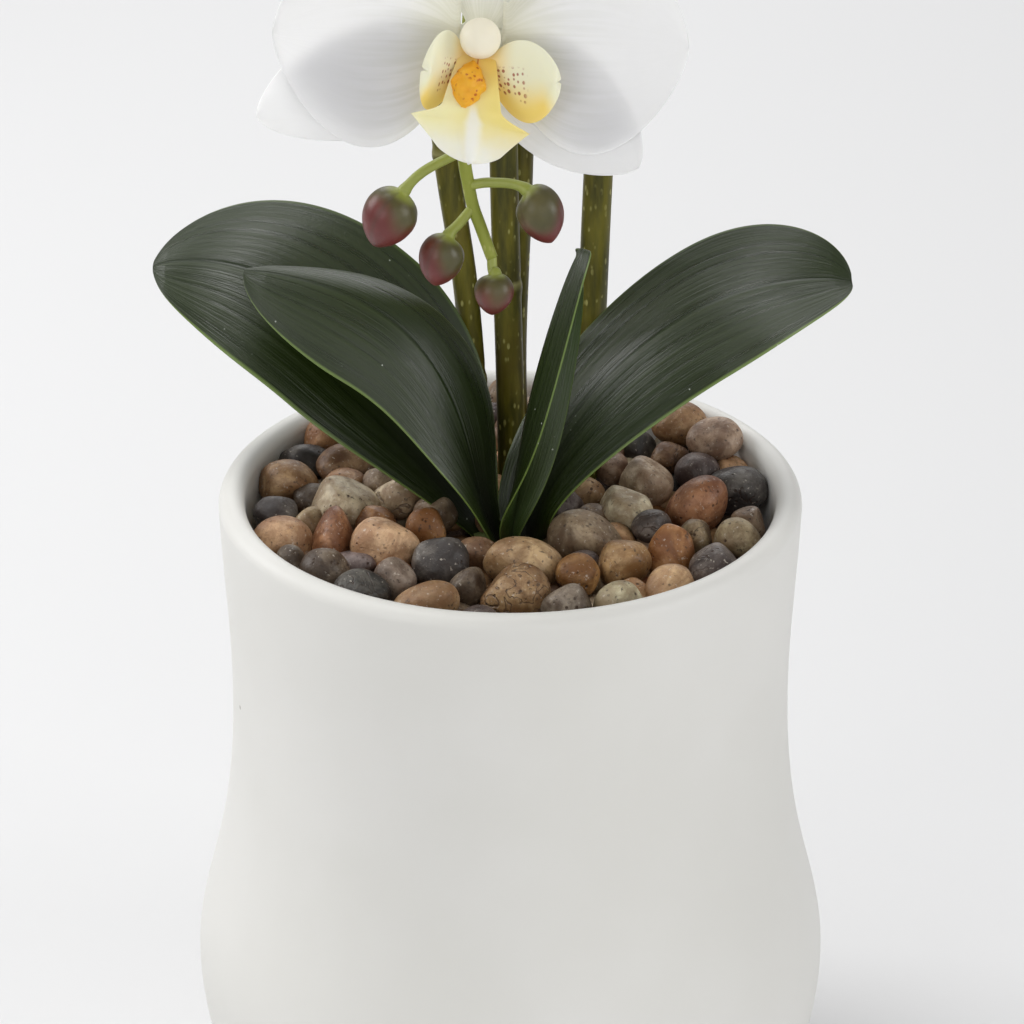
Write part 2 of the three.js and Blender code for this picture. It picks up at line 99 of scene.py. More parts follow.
# %% Rings to a mesh
def ring_faces(rows, columns):
    """Faces over rows of rings, whose two end points come after the rings: quads between the
    rows, and a fan of triangles at each end."""
    r, c = np.meshgrid(np.arange(rows - 1), np.arange(columns), indexing="ij")
    beside = (c + 1) % columns
    quads = np.stack([r * columns + c, r * columns + beside,
                      (r + 1) * columns + beside, (r + 1) * columns + c], axis=-1)
    c, beside = c[0], beside[0]
    first, last, end = rows * columns, rows * columns + 1, (rows - 1) * columns
    start_fan = np.stack([np.full(columns, first), beside, c], axis=-1)
    end_fan = np.stack([np.full(columns, last), end + c, end + beside], axis=-1)
    return quads.reshape(-1, 4), np.concatenate([start_fan, end_fan])


def ring_mesh(name, rings, uv=None, values=None):
    """A closed mesh from rings (rows, columns, 3), with UV and named values at its points."""
    quads, fans = ring_faces(*rings.shape[:2])
    ends = [rings[0].mean(axis=0), rings[-1].mean(axis=0)]
    points = np.concatenate([rings.reshape(-1, 3), ends])
    mesh = bpy.data.meshes.new(name)
    mesh.from_pydata(points.tolist(), [], quads.tolist() + fans.tolist())
    if uv is not None:
        flat = np.concatenate([uv.reshape(-1, 2), [uv[0].mean(axis=0), uv[-1].mean(axis=0)]])
        corners = np.empty(len(mesh.loops), dtype=np.int32)
        mesh.loops.foreach_get("vertex_index", corners)
        layer = mesh.uv_layers.new(name="UVMap")
        layer.data.foreach_set("uv", flat[corners].astype(np.float32).ravel())
    for key, value in (values or {}).items():
        flat = np.concatenate([value.ravel(), [value[0].mean(), value[-1].mean()]])
        mesh.attributes.new(key, "FLOAT", "POINT").data.foreach_set("value", flat.astype(np.float32))
    mesh.shade_smooth()
    return mesh


def face_outwards(mesh):
    """Turns the faces if the mesh's signed volume, a sum of tetrahedra, is negative."""
    mesh.calc_loop_triangles()
    points = np.empty(len(mesh.vertices) * 3)
    mesh.vertices.foreach_get("co", points)
    points = points.reshape(-1, 3)
    corners = np.empty(len(mesh.loop_triangles) * 3, dtype=np.int32)
    mesh.loop_triangles.foreach_get("vertices", corners)
    a, b, c = points[corners.reshape(-1, 3).T]
    if np.einsum("ij,ij->i", a, np.cross(b, c)).sum() < 0:
        mesh.flip_normals()


def add_piece(mesh, material, slot, *nodes):
    """Links a mesh, under its own name, as a piece that stands for the given CAD nodes."""
    face_outwards(mesh)
    mesh.materials.append(material)
    piece = bpy.data.objects.new(mesh.name, mesh)
    bpy.context.scene.collection.objects.link(piece)
    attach(piece, "root")
    if nodes:
        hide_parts(*nodes)


# %% [markdown]
# Stems, stalks and buds follow curves. The curve goes through its chosen points without the
# overshoot that evenly spaced knots would give, and a frame is carried along it so that the
# rings don't twist.


# %% Curves and carried rings
def smooth_through(points, samples):
    """Centripetal Catmull-Rom: between two points, a cubic whose end slopes weigh the three
    neighbouring chords by the square roots of their lengths. Returns (samples, 3)."""
    points = np.asarray(points, float)
    ends = np.vstack([2 * points[0] - points[1], points, 2 * points[-1] - points[-2]])
    t = np.linspace(0, len(points) - 1, samples)
    k = np.minimum(t.astype(int), len(points) - 2)
    w = (t - k)[:, None]
    p0, p1, p2, p3 = (ends[k + j] for j in range(4))
    d0, d1, d2 = (np.sqrt(np.linalg.norm(b - a, axis=1))[:, None]
                  for a, b in ((p0, p1), (p1, p2), (p2, p3)))
    m1 = ((p1 - p0) / d0 - (p2 - p0) / (d0 + d1) + (p2 - p1) / d1) * d1
    m2 = ((p2 - p1) / d1 - (p3 - p1) / (d1 + d2) + (p3 - p2) / d2) * d1
    cubic = (2 * p1 - 2 * p2 + m1 + m2) * w ** 3 + (3 * p2 - 3 * p1 - 2 * m1 - m2) * w ** 2
    return cubic + m1 * w + p1


def even_steps(line, count):
    """The same line at evenly spaced lengths, and its whole length."""
    length = np.concatenate([[0], np.cumsum(np.linalg.norm(np.diff(line, axis=0), axis=1))])
    wanted = np.linspace(0, length[-1], count)
    return np.stack([np.interp(wanted, length, line[:, k]) for k in range(3)], axis=1), length[-1]


def carried_frames(line):
    """Two directions square to a line at each of its points, carried on without twist."""
    along = np.gradient(line, axis=0)
    along /= np.linalg.norm(along, axis=1)[:, None]
    side = np.empty_like(along)
    start = np.cross(along[0], [0.31, 0.95, 0.02])
    side[0] = start / np.linalg.norm(start)
    for k in range(1, len(line)):
        flat = side[k - 1] - along[k] * (side[k - 1] @ along[k])
        side[k] = flat / np.linalg.norm(flat)
    return side, np.cross(along, side)


def round_turn(steps):
    """Angles evenly round a full turn."""
    return np.linspace(0, 2 * np.pi, steps, endpoint=False)


def tube_rings(line, radius, sides):
    """Rings about a line: centre + radius * (cos a * side + sin a * other)."""
    side, other = carried_frames(line)
    angle = round_turn(sides)
    radius = np.broadcast_to(np.asarray(radius, float).reshape(len(line), -1), (len(line), sides))
    arm = np.cos(angle)[None, :, None] * side[:, None] + np.sin(angle)[None, :, None] * other[:, None]
    return line[:, None] + radius[..., None] * arm


def tube_uv(rows, sides):
    """UV of a tube: across runs round it and up again, so no seam shows, and along is 0 to 1."""
    round_it = 1 - np.abs(np.linspace(-1, 1, sides, endpoint=False))
    s = np.linspace(0, 1, rows)
    return np.stack(np.broadcast_arrays(round_it[None, :], s[:, None]), axis=-1)


# %% [markdown]
# Leaves, petals, sepals and the lip are thin. Each is given as a surface over s, from base to
# tip, and u, across. The blade function walks once round the section at every s: over the top
# from one margin to the other and back underneath, with the thickness rounded off to nothing at
# the margins, so that the edge is a soft roll and not a cut.


# %% Thin blades
def blade(name, surface, thickness, rows=60, half=20, tip_power=1.6, front=1):
    """Rings round a thin section. The loop angle a gives u = eased cos a, and the point is
    surface(s, u) + normal * thickness / 2 * (sin a, rounded). UV across is 0 at the margin on
    the front side."""
    s = 1 - (1 - np.linspace(0, 1, rows)) ** tip_power
    s = np.clip(s, 0.0, 0.9985)
    a = np.arange(2 * half) * np.pi / half
    u = np.cos(a)
    u = np.sign(u) * np.abs(u) ** 0.8
    rise = np.sign(np.sin(a)) * np.abs(np.sin(a)) ** 0.55
    rise[np.abs(np.sin(a)) < 1e-9] = 0.0
    S, U = np.meshgrid(s, u, indexing="ij")
    middle = surface(S, U)
    step = 0.004
    s_in = np.clip(S, 0.02, 0.975)
    u_in = np.clip(U, -0.97, 0.97)
    along = surface(s_in + step, u_in) - surface(s_in - step, u_in)
    across = surface(s_in, u_in + step) - surface(s_in, u_in - step)
    normal = np.cross(across, along)
    normal /= np.linalg.norm(normal, axis=-1)[..., None]
    fade = np.clip((1 - S) / 0.03, 0.25, 1.0)
    thick = thickness(S, U) * fade
    rings = middle + normal * (thick * rise[None, :] / 2)[..., None]
    uv = np.stack([(front * U + 1) / 2, S], axis=-1)
    above = np.broadcast_to((np.sin(a) > 0).astype(float)[None, :], S.shape)
    return ring_mesh(name, rings, uv, {"above": above})


# %% [markdown]
# ## Shader helpers
# A node tree is easier to read as arithmetic. The small class below wraps a socket, so that
# mask * 0.4 + noise adds the Math nodes by itself, and one method adds every other node.


# %% Sockets as numbers
class Wire:
    """A node's output that can be added, multiplied and so on with numbers and other wires."""

    def __init__(self, paint, socket):
        self.paint = paint
        self.socket = socket

    def _math(self, operation, a, b):
        return self.paint.node("ShaderNodeMath", {"operation": operation}, {0: a, 1: b})

    def __add__(self, other):
        return self._math("ADD", self, other)

    def __radd__(self, other):
        return self._math("ADD", other, self)

    def __sub__(self, other):
        return self._math("SUBTRACT", self, other)

    def __rsub__(self, other):
        return self._math("SUBTRACT", other, self)

    def __mul__(self, other):
        return self._math("MULTIPLY", self, other)

    def __rmul__(self, other):
        return self._math("MULTIPLY", other, self)


class Paint:
    """One material: its tree, its shader and the method that adds nodes."""

    def __init__(self, name, **constants):
        self.material = bpy.data.materials.new(name)
        self.material.use_nodes = True
        self.tree = self.material.node_tree
        self.shader = self.tree.nodes["Principled BSDF"]
        for key, value in constants.items():
            self.shader.inputs[key.replace("_", " ")].default_value = value

    def node(self, kind, settings=None, inputs=None, out=0):
        """Adds a node: its settings first, then the values or links of its sockets."""
        node = self.tree.nodes.new(kind)
        for key, value in (settings or {}).items():
            setattr(node, key, value)
        for key, value in (inputs or {}).items():
            self.put(node.inputs[key], value)
        return Wire(self, node.outputs[out])

    def put(self, socket, value):
        if isinstance(value, Wire):
            self.tree.links.new(value.socket, socket)
        elif isinstance(value, tuple) and len(value) == 3 and socket.type == "RGBA":
            socket.default_value = (*value, 1.0)
        else:
            socket.default_value = value

    def set(self, **sockets):
        """Feeds the shader's own sockets."""
        for key, value in sockets.items():
            self.put(self.shader.inputs[key.replace("_", " ")], value)

    def mask(self, value, low, high):
        """0 below low and 1 above high, smooth between."""
        return self.node("ShaderNodeMapRange", {"interpolation_type": "SMOOTHSTEP"},
                         {"Value": value, "From Min": low, "From Max": high})

    def mix(self, factor, a, b, blend="MIX"):
        return self.node("ShaderNodeMix", {"data_type": "RGBA", "blend_type": blend},
                         {0: factor, 6: a, 7: b}, out=2)

    def noise(self, place, scale, detail=3.0, roughness=0.5, distortion=0.0):
        return self.node("ShaderNodeTexNoise", None,
                         {"Vector": place, "Scale": scale, "Detail": detail,
                          "Roughness": roughness, "Distortion": distortion})

    def cells(self, place, scale, out=0):
        """Voronoi cells: the distance to the nearest point, or with out 1 a colour for each."""
        return self.node("ShaderNodeTexVoronoi", None, {"Vector": place, "Scale": scale}, out=out)

    def spots(self, place, scale, sizes, cluster_scale, bounds):
        """Round spots, 1 in the middle, kept only where a second and coarser noise is high."""
        clusters = self.mask(self.noise(place, cluster_scale, 2.0), *bounds)
        return (1 - self.mask(self.cells(place, scale), *sizes)) * clusters

    def number(self, operation, value):
        """One number through a Math node, such as ABSOLUTE or FRACT."""
        return self.node("ShaderNodeMath", {"operation": operation}, {0: value})

    def across_and_along(self):
        """The two numbers of the UV map, each 0 to 1."""
        uv = self.coordinates("UV")
        return tuple(self.node("ShaderNodeSeparateXYZ", None, {0: uv}, out=k) for k in range(2))

    def attribute(self, name, out="Fac"):
        return self.node("ShaderNodeAttribute", {"attribute_name": name}, None, out=out)

    def coordinates(self, kind="Object"):
        return self.node("ShaderNodeTexCoord", None, None, out=kind)

    def scaled(self, vector, x, y, z):
        return self.node("ShaderNodeVectorMath", {"operation": "MULTIPLY"},
                         {0: vector, 1: (x, y, z)})

    def bump(self, height, distance, strength):
        return self.node("ShaderNodeBump", None,
                         {"Height": height, "Distance": distance, "Strength": strength})


def colour(red, green, blue):
    """A colour as a painter names it, 0 to 255 on the screen, as the linear numbers of light."""
    share = np.array([red, green, blue]) / 255
    linear = np.where(share <= 0.04045, share / 12.92, ((share + 0.055) / 1.055) ** 2.4)
    return tuple(float(v) for v in linear)


# %% [markdown]
# ## Floor and light
# A pale floor runs back out of sight, so it is also the backdrop. The light is a studio's: an
# even surround, and around the plant soft boxes: one on each side, which give the leaves their
# streaks of sheen, one overhead, two in front, and one that lights the floor behind. The
# surround is kept low, because one as bright as the boxes would lie as a grey haze on every
# leaf and stone.


# %% Lay the floor and hang the lights
def lay_floor():
    """A flat square, six metres across."""
    half = 3.0
    corners = [(-half, -half, 0), (half, -half, 0), (half, half, 0), (-half, half, 0)]
    mesh = bpy.data.meshes.new("floor")
    mesh.from_pydata(corners, [], [(0, 1, 2, 3)])
    paint = Paint("floor_white", Roughness=0.9)
    paint.set(Base_Color=(0.73, 0.73, 0.735))
    mesh.materials.append(paint.material)
    floor = bpy.data.objects.new("floor", mesh)
    bpy.context.scene.collection.objects.link(floor)


def hang_light(name, place, target, size, power):
    """A square soft light at a place, turned to face a target."""
    lamp = bpy.data.lights.new(name, "AREA")
    lamp.shape = "SQUARE"
    lamp.size = size
    lamp.energy = power
    light = bpy.data.objects.new(name, lamp)
    way = np.array(target, float) - np.array(place, float)
    tilt = math.atan2(math.hypot(way[0], way[1]), -way[2])
    light.location = place
    light.rotation_euler = (tilt, 0.0, math.atan2(way[1], way[0]) - math.pi / 2)
    bpy.context.scene.collection.objects.link(light)


def fill_surround(strength):
    """An even white world."""
    world = bpy.data.worlds.new("surround")
    world.use_nodes = True
    inputs = world.node_tree.nodes["Background"].inputs
    inputs["Color"].default_value = (1.0, 1.0, 1.0, 1.0)
    inputs["Strength"].default_value = strength
    bpy.context.scene.world = world


lay_floor()
fill_surround(0.34)
hang_light("left_box", (-1.15, 0.4, 0.85), (0, 0, 0.2), 0.7, 8.0)
hang_light("right_box", (1.15, -0.4, 0.55), (0, 0, 0.2), 0.6, 4.5)
hang_light("overhead", (-0.25, 0.0, 1.4), (0, 0, 0.2), 0.5, 5.5)
hang_light("left_front", (-0.9, -1.1, 0.7), (0, 0, 0.2), 0.9, 5.0)
hang_light("front_fill", (0.45, -1.3, 0.55), (0, 0, 0.25), 1.2, 4.0)
hang_light("backdrop", (0.0, 1.5, 1.1), (0, 0.8, 0.0), 1.4, 11.0)

# %% [markdown]
# ## The pot
# Slip-cast ceramic with a matte white glaze. Its outline is a lathe's: a rounded lip, a slight
# waist and a bulge low down. The CAD pot has 32 flats, so it is turned again here with enough
# steps to look round, from the same few radii.

# %% Turn the pot
POT = {
    "rim": 70.0, "waist": 68.3, "waist_depth": 48.0, "bulge": 79.3, "bulge_height": 57.0,
    "foot": 67.0, "foot_round": 4.0, "wall": 6.3, "floor": 9.0,
}


def cubic(a, b, c, d, steps):
    """A cubic curve by its four control points, without its first point."""
    t = np.linspace(0, 1, steps + 1)[1:, None]
    a, b, c, d = (np.array(p, float) for p in (a, b, c, d))
    return (1 - t) ** 3 * a + 3 * (1 - t) ** 2 * t * b + 3 * (1 - t) * t ** 2 * c + t ** 3 * d


def pot_side(inset=0.0):
    """The pot's side from lip to foot as (radius, height) in mm: neck, shoulder and belly."""
    height = rim / MM
    lip = height - POT["wall"] / 2
    waist = height - POT["waist_depth"]
    bulge = POT["bulge_height"]
    span = waist - bulge
    top = (POT["rim"], lip)
    neck = cubic(top, (POT["rim"] - 0.3, lip - 15),
                 (POT["waist"], waist + 15), (POT["waist"], waist), 12)
    shoulder = cubic((POT["waist"], waist), (POT["waist"], waist - span * 0.62),
                     (POT["bulge"], bulge + span * 0.25), (POT["bulge"], bulge), 24)
    belly = cubic((POT["bulge"], bulge), (POT["bulge"], bulge * 0.62),
                  (POT["foot"] + 3.5, bulge * 0.3), (POT["foot"], POT["foot_round"]), 16)
    side = np.vstack([[top], neck, shoulder, belly])
    return side - [inset, 0]


def arc(centre, radius, start, end, steps):
    """Points on an arc, from one angle to the other in degrees."""
    a = np.radians(np.linspace(start, end, steps))
    return np.stack([centre[0] + radius * np.cos(a), centre[1] + radius * np.sin(a)], axis=1)


def pot_profile():
    """Foot, outer side upwards, lip as a half round, inner side downwards, floor."""
    wall, soft = POT["wall"], POT["foot_round"]
    foot = arc((POT["foot"] - soft, soft), soft, -90, 0, 6)
    lip = arc((POT["rim"] - wall / 2, rim / MM - wall / 2), wall / 2, 10, 170, 12)
    inner = pot_side(wall)
    inner = inner[inner[:, 1] > POT["floor"] + wall]
    floor = [(POT["foot"] - wall - soft, POT["floor"]), (0.02, POT["floor"])]
    underside = [(0.02, 0.0), (POT["foot"] - soft - 6, 0.0)]
    outer = pot_side()[::-1][1:]
    return np.vstack([underside, foot, outer, lip, inner, floor])


def lathe_mesh(name, profile, steps):
    """Turns (radius, height) points in mm about Z: (r cos a, r sin a, h)."""
    a = round_turn(steps)
    r, h = profile[:, 0:1], profile[:, 1:2]
    rings = np.stack([r * np.cos(a), r * np.sin(a), h + 0 * a], axis=-1) * MM
    return ring_mesh(name, rings)


# %% [markdown]
# The glaze is nearly white and nearly even. What makes it ceramic is small: a faint orange-peel
# unevenness in the sheen, a few dark pin-holes, and soft clouds of a slightly darker, warmer glaze.


# %% Glaze the pot
def glaze():
    paint = Paint("matte_white_glaze", Specular_IOR_Level=0.4)
    place = paint.coordinates()
    cloud = paint.noise(place, 14.0, 3.0)
    pit = paint.spots(place, 95.0, (0.035, 0.075), 23.0, (0.62, 0.66))
    body = paint.mix(paint.mask(cloud, 0.35, 0.65), colour(217, 216, 211), colour(221, 220, 216))
    paint.set(Base_Color=paint.mix(pit * 0.75, body, colour(120, 112, 100)))
    fine = paint.noise(place, 420.0, 2.0)
    paint.set(Roughness=0.42 + 0.14 * paint.noise(place, 60.0, 3.0))
    height = fine * 0.35 + paint.noise(place, 70.0, 2.0) - 2.0 * pit
    paint.set(Normal=paint.bump(height, 0.00012, 0.35))
    return paint.material


pot_mesh = lathe_mesh("glazed_pot", pot_profile(), 192)
add_piece(pot_mesh, glaze(), "ceramic_white", "pot")
print("pot faces:", len(pot_mesh.polygons))

# %% [markdown]
# ## Growing medium
# The medium is bark, dark and crumbly, and the pebbles cover it. The CAD node has the right
# shape, with its sockets, so it only gets a material.


# %% Darken the medium
def bark():
    paint = Paint("bark_crumbs")
    place = paint.coordinates()
    crumbs = paint.cells(place, 160.0, out=1)
    tone = paint.mix(paint.noise(place, 90.0, 5.0), colour(52, 36, 24), colour(104, 76, 52))
    paint.set(Base_Color=paint.mix(0.25, tone, crumbs, "MULTIPLY"), Roughness=0.95)
    paint.set(Normal=paint.bump(paint.noise(place, 240.0, 6.0), 0.0015, 0.8))
    return paint.material


def repaint(node, material):
    """Gives a CAD node's object a new material."""
    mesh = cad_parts[node].data
    mesh.materials.clear()
    mesh.materials.append(material)


repaint("growing_medium", bark())

# %% [markdown]
# ## River pebbles
# Each stone is its own closed shape. A tumbled stone is a block whose corners have been worn
# round, so it is made as that: eleven flat cuts around a centre, blended by a high power so
# that they meet in soft edges. The stones that show are laid one by one, each with its size,
# its turn and its kind of rock, and a sunflower spiral fills the places between and below.

# %% Kinds of rock
ROCK = {
    "tan": (178, 138, 96), "sand": (190, 158, 116), "cream": (198, 182, 150),
    "peach": (205, 164, 122), "taupe": (148, 126, 104), "rose": (152, 126, 106),
    "brown": (126, 94, 64), "rust": (148, 98, 62), "amber": (172, 120, 64), "ochre": (172, 136, 90),
    "olive": (152, 134, 100), "umber": (98, 84, 68), "grey": (134, 120, 104),
    "charcoal": (70, 69, 70), "plum": (96, 84, 84),
}

# x, y, length, width and height in mm, turn in degrees, and the rock.
STONES = [
    (43, 57, 12, 12, 9, 20, "tan"), (-49, 48, 9, 9, 8, 0, "tan"), (52, 45, 13, 10, 8, 10, "taupe"),
    (31, 42, 10, 9, 8, 0, "charcoal"), (-51, 36, 13, 10, 8, -10, "charcoal"),
    (39, 36, 10, 9, 8, 30, "brown"), (54, 33, 8, 9, 7, 0, "peach"),
    (-40, 30, 14, 13, 10, 35, "brown"), (25, 31, 8, 9, 8, 0, "rose"),
    (46, 28, 10, 10, 9, -30, "plum"), (-55, 23, 14, 12, 9, 5, "tan"),
    (-31, 22, 9, 9, 8, 0, "taupe"), (33, 23, 12, 12, 11, -30, "cream"),
    (57, 19, 14, 13, 10, 0, "charcoal"), (-27, 14, 11, 11, 10, 50, "cream"),
    (-40, 11, 16, 14, 11, 0, "cream"), (13, 10, 9, 9, 9, 60, "plum"),
    (45, 9, 17, 13, 10, -12, "rust"), (-18, 7, 10, 9, 8, -20, "taupe"),
    (28, 7, 13, 12, 11, -25, "cream"), (-56, 5, 11, 11, 8, 25, "charcoal"),
    (-20, -1, 9, 8, 8, -40, "amber"), (-48, 0, 7, 8, 7, 0, "olive"), (57, 1, 8, 9, 7, 0, "taupe"),
    (34, -2, 9, 8, 7, 20, "plum"), (44, -6, 8, 8, 7, 0, "olive"), (-42, -7, 9, 11, 12, -20, "rust"),
    (18, -7, 16, 13, 10, 0, "taupe"), (54, -8, 10, 10, 9, 40, "olive"),
    (-54, -9, 13, 13, 10, 0, "tan"), (-29, -12, 15, 14, 12, 0, "sand"),
    (-7, -13, 11, 9, 7, 0, "brown"), (38, -14, 10, 10, 12, 10, "amber"),
    (-52, -22, 7, 9, 8, 0, "umber"), (-16, -21, 12, 11, 12, 0, "charcoal"),
    (3, -21, 17, 12, 10, -5, "sand"), (27, -21, 11, 12, 12, -15, "ochre"),
    (48, -23, 12, 12, 9, 10, "plum"), (-43, -25, 11, 11, 10, 0, "umber"),
    (16, -26, 10, 9, 8, 0, "amber"), (-27, -29, 9, 9, 9, 0, "grey"),
    (-10, -31, 8, 9, 8, 0, "umber"), (37, -32, 11, 11, 8, 0, "peach"),
    (-34, -35, 12, 12, 9, -20, "charcoal"), (1, -36, 15, 13, 11, -10, "ochre"),
    (13, -41, 11, 10, 8, 0, "grey"), (-19, -40, 14, 10, 8, -8, "sand"),
    (25, -40, 11, 9, 8, 0, "cream"),
]
BELOW_RIM = 11
PEBBLE_LEVEL = rim / MM - BELOW_RIM
MOUTH = POT["rim"] - POT["wall"]
FORWARD, RISE = 8.0, 0.49
DIP_DEPTH, DIP_REACH, CROWN_Y = 6.5, 14, -8
BED_RISE, BACK_RISE, BACK_FROM, BACK_RUN = 4, 5, 10, 30
CLOSENESS, EASE, WALL_SHARE = 0.88, 0.21, 0.95
STONE_SCALE = [1.08, 1.08, 1.2]
TONE_LIFT = 1.12
CUTS = 11

# %% [markdown]
# The bed isn't level: the stones are heaped a little, most of all against the back wall. A stone
# that would be too near the wall comes forward, and for each millimetre forward it rises half a
# millimetre, onto the ones in front. Then all of them are pushed apart, a little at a time, so
# that they share hardly any space, and those round the crown sink to show the leaf bases.


# %% Lay the stones
def heap(rows):
    """Forward by FORWARD, or until clear of the wall, and up by RISE of the way forward."""
    x, y = rows[:, 0], rows[:, 1]
    reach = MOUTH - rows[:, 2:4].max(axis=1) * 0.5 + 1.0
    x = np.clip(x, -reach + 3, reach - 3)
    wall = np.sqrt(reach ** 2 - x ** 2)
    forward = np.maximum(FORWARD, y - wall)
    return np.column_stack([x, np.maximum(y - forward, -wall), PEBBLE_LEVEL + RISE * forward])


def dipped(centres):
    """Lower round the crown: DIP_DEPTH * exp(-(distance / DIP_REACH) ** 4)."""
    near = np.hypot(centres[:, 0], centres[:, 1] - CROWN_Y) / DIP_REACH
    return centres - np.outer(DIP_DEPTH * np.exp(-near ** 4), [0, 0, 1])


def bed_height(y):
    """BED_RISE above the pebble level, and up to BACK_RISE more towards the back wall."""
    return PEBBLE_LEVEL + BED_RISE + BACK_RISE * np.clip((y - BACK_FROM) / BACK_RUN, 0, 1)


def settle(centres, radii, steps=60):
    """Pushes stones apart, by EASE at each step, where two are nearer than CLOSENESS times
    their radii, and keeps them inside the pot's mouth."""
    centres = centres.copy()
    near = CLOSENESS * (radii[:, None] + radii[None, :])
    for _ in range(steps):
        gap = centres[:, None] - centres[None, :]
        far = np.linalg.norm(gap, axis=-1) + 1e-6
        push = np.clip(near - far, 0, None) / far
        np.fill_diagonal(push, 0)
        centres += EASE * (gap * push[..., None]).sum(axis=1) * [1, 1, 0.5]
        spread = np.hypot(centres[:, 0], centres[:, 1])
        limit = MOUTH - radii * WALL_SHARE
        centres[:, :2] *= np.minimum(1, limit / spread)[:, None]
    return centres


def spiral(count, reach):
    """Sunflower spiral: point k at angle k times the golden angle, radius reach * sqrt(k / n)."""
    k = np.arange(count)
    angle = k * np.pi * (3 - np.sqrt(5))
    radius = reach * np.sqrt((k + 0.5) / count)
    return np.stack([radius * np.cos(angle), radius * np.sin(angle)], axis=1)


def gap_stones(rng, count, drop, size, spacing, taken):
    """Stones for the free places of one layer: spiral points nearer than spacing to a taken
    place are left out, and each that stays gets a random size, turn and rock."""
    places = spiral(count, MOUTH - size * 0.5)
    free = np.ones(len(places), bool)
    if len(taken):
        apart = np.linalg.norm(places[:, None] - np.asarray(taken)[None, :, :2], axis=-1)
        free = apart.min(axis=1) > spacing
    places = places[free]
    kinds = np.array(list(ROCK))
    n = len(places)
    level = bed_height(places[:, 1]) - drop
    return {
        "centre": np.column_stack([places + rng.normal(0, 0.5, (n, 2)), level + rng.normal(0, 0.5, n)]),
        "size": size * rng.uniform([0.9, 0.85, 0.75], [1.3, 1.1, 0.95], (n, 3)),
        "turn": rng.uniform(0, 180, n),
        "kind": kinds[rng.integers(0, len(kinds), n)],
    }


def laid_stones():
    """The stones that show, from the list."""
    rows = np.array([row[:6] for row in STONES], float)
    centres = heap(rows)
    size = rows[:, 2:5] * STONE_SCALE
    return {
        "centre": settle(centres, size.mean(axis=1) / 2),
        "size": size,
        "turn": rows[:, 5],
        "kind": np.array([row[6] for row in STONES]),
    }


def worn_shape(rng, count, theta, phi):
    """Radius of each stone in every direction: (sum over cuts of (d . n / c) ** p) ** (-1 / p),
    with cuts n at random distances c. The power p makes edges soft (low) or crisp (high)."""
    flat = np.sin(theta)
    ways = np.stack([flat * np.cos(phi), flat * np.sin(phi), np.cos(theta)], axis=-1)
    cuts = rng.normal(size=(count, CUTS, 3))
    cuts /= np.linalg.norm(cuts, axis=-1)[..., None]
    far = rng.uniform(0.78, 1.12, (count, CUTS))
    facing = np.maximum(np.einsum("rcx,nkx->nrck", ways, cuts) / far[:, None, None, :], 0)
    power = rng.uniform(8.0, 15.0, count)[:, None, None]
    cut = (facing ** power[..., None]).sum(axis=-1)
    radius = (cut + 0.4) ** (-1 / power)
    return ways[None] * (radius / radius.mean(axis=(1, 2), keepdims=True))[..., None]


def turned(a, b, angle):
    """Two coordinates turned together: (a cos - b sin, a sin + b cos)."""
    return a * np.cos(angle) - b * np.sin(angle), a * np.sin(angle) + b * np.cos(angle)


def stone_cloud(name, rng, stones, rows, columns):
    """One mesh of many closed stones, with each stone's colour and number as attributes."""
    count = len(stones["turn"])
    theta, phi = np.meshgrid(np.linspace(0, np.pi, rows + 2)[1:-1],
                             round_turn(columns), indexing="ij")
    shape = worn_shape(rng, count, theta, phi) * stones["size"][:, None, None, :] / 2
    tilt = rng.normal(0, 0.25, (2, count))[..., None, None]
    x, y, z = np.moveaxis(shape, -1, 0)
    y, z = turned(y, z, tilt[0])
    x, z = turned(x, z, tilt[1])
    x, y = turned(x, y, np.radians(stones["turn"])[:, None, None])
    points = (np.stack([x, y, z], axis=-1) + dipped(stones["centre"])[:, None, None]) * MM
    poles = np.stack([points[:, 0].mean(axis=1), points[:, -1].mean(axis=1)], axis=1)
    per = rows * columns + 2
    vertices = np.concatenate([points.reshape(count, -1, 3), poles], axis=1).reshape(-1, 3)
    quads, fans = ring_faces(rows, columns)
    shift = (np.arange(count) * per)[:, None, None]
    quads, fans = (quads + shift).reshape(-1, 4), (fans + shift).reshape(-1, 3)
    mesh = bpy.data.meshes.new(name)
    mesh.from_pydata(vertices.tolist(), [], quads.tolist() + fans.tolist())
    tones = np.array([colour(*ROCK[kind]) for kind in stones["kind"]])
    brightness = rng.uniform(0.85, 1.15, (count, 1))
    tones = TONE_LIFT * tones * brightness * rng.uniform(0.95, 1.05, (count, 3))
    tone = np.column_stack([np.repeat(tones, per, axis=0), np.ones(count * per)]).astype(np.float32)
    mesh.attributes.new("rock", "FLOAT_COLOR", "POINT").data.foreach_set("color", tone.ravel())
    number = np.repeat(rng.uniform(0, 1, count), per).astype(np.float32)
    mesh.attributes.new("stone", "FLOAT", "POINT").data.foreach_set("value", number)
    mesh.shade_smooth()
    return mesh


# %% [markdown]
# Rock is never one colour. Each stone carries its own tone and a number of its own, which
# shifts the patterns so that no two stones share one. Over the tone go soft clouds, a face of
# darker or rustier mineral, thin dark veins on some, and fine dark or pale grains, with a sheen
# that is dull in the pits and a little polished on the worn faces.


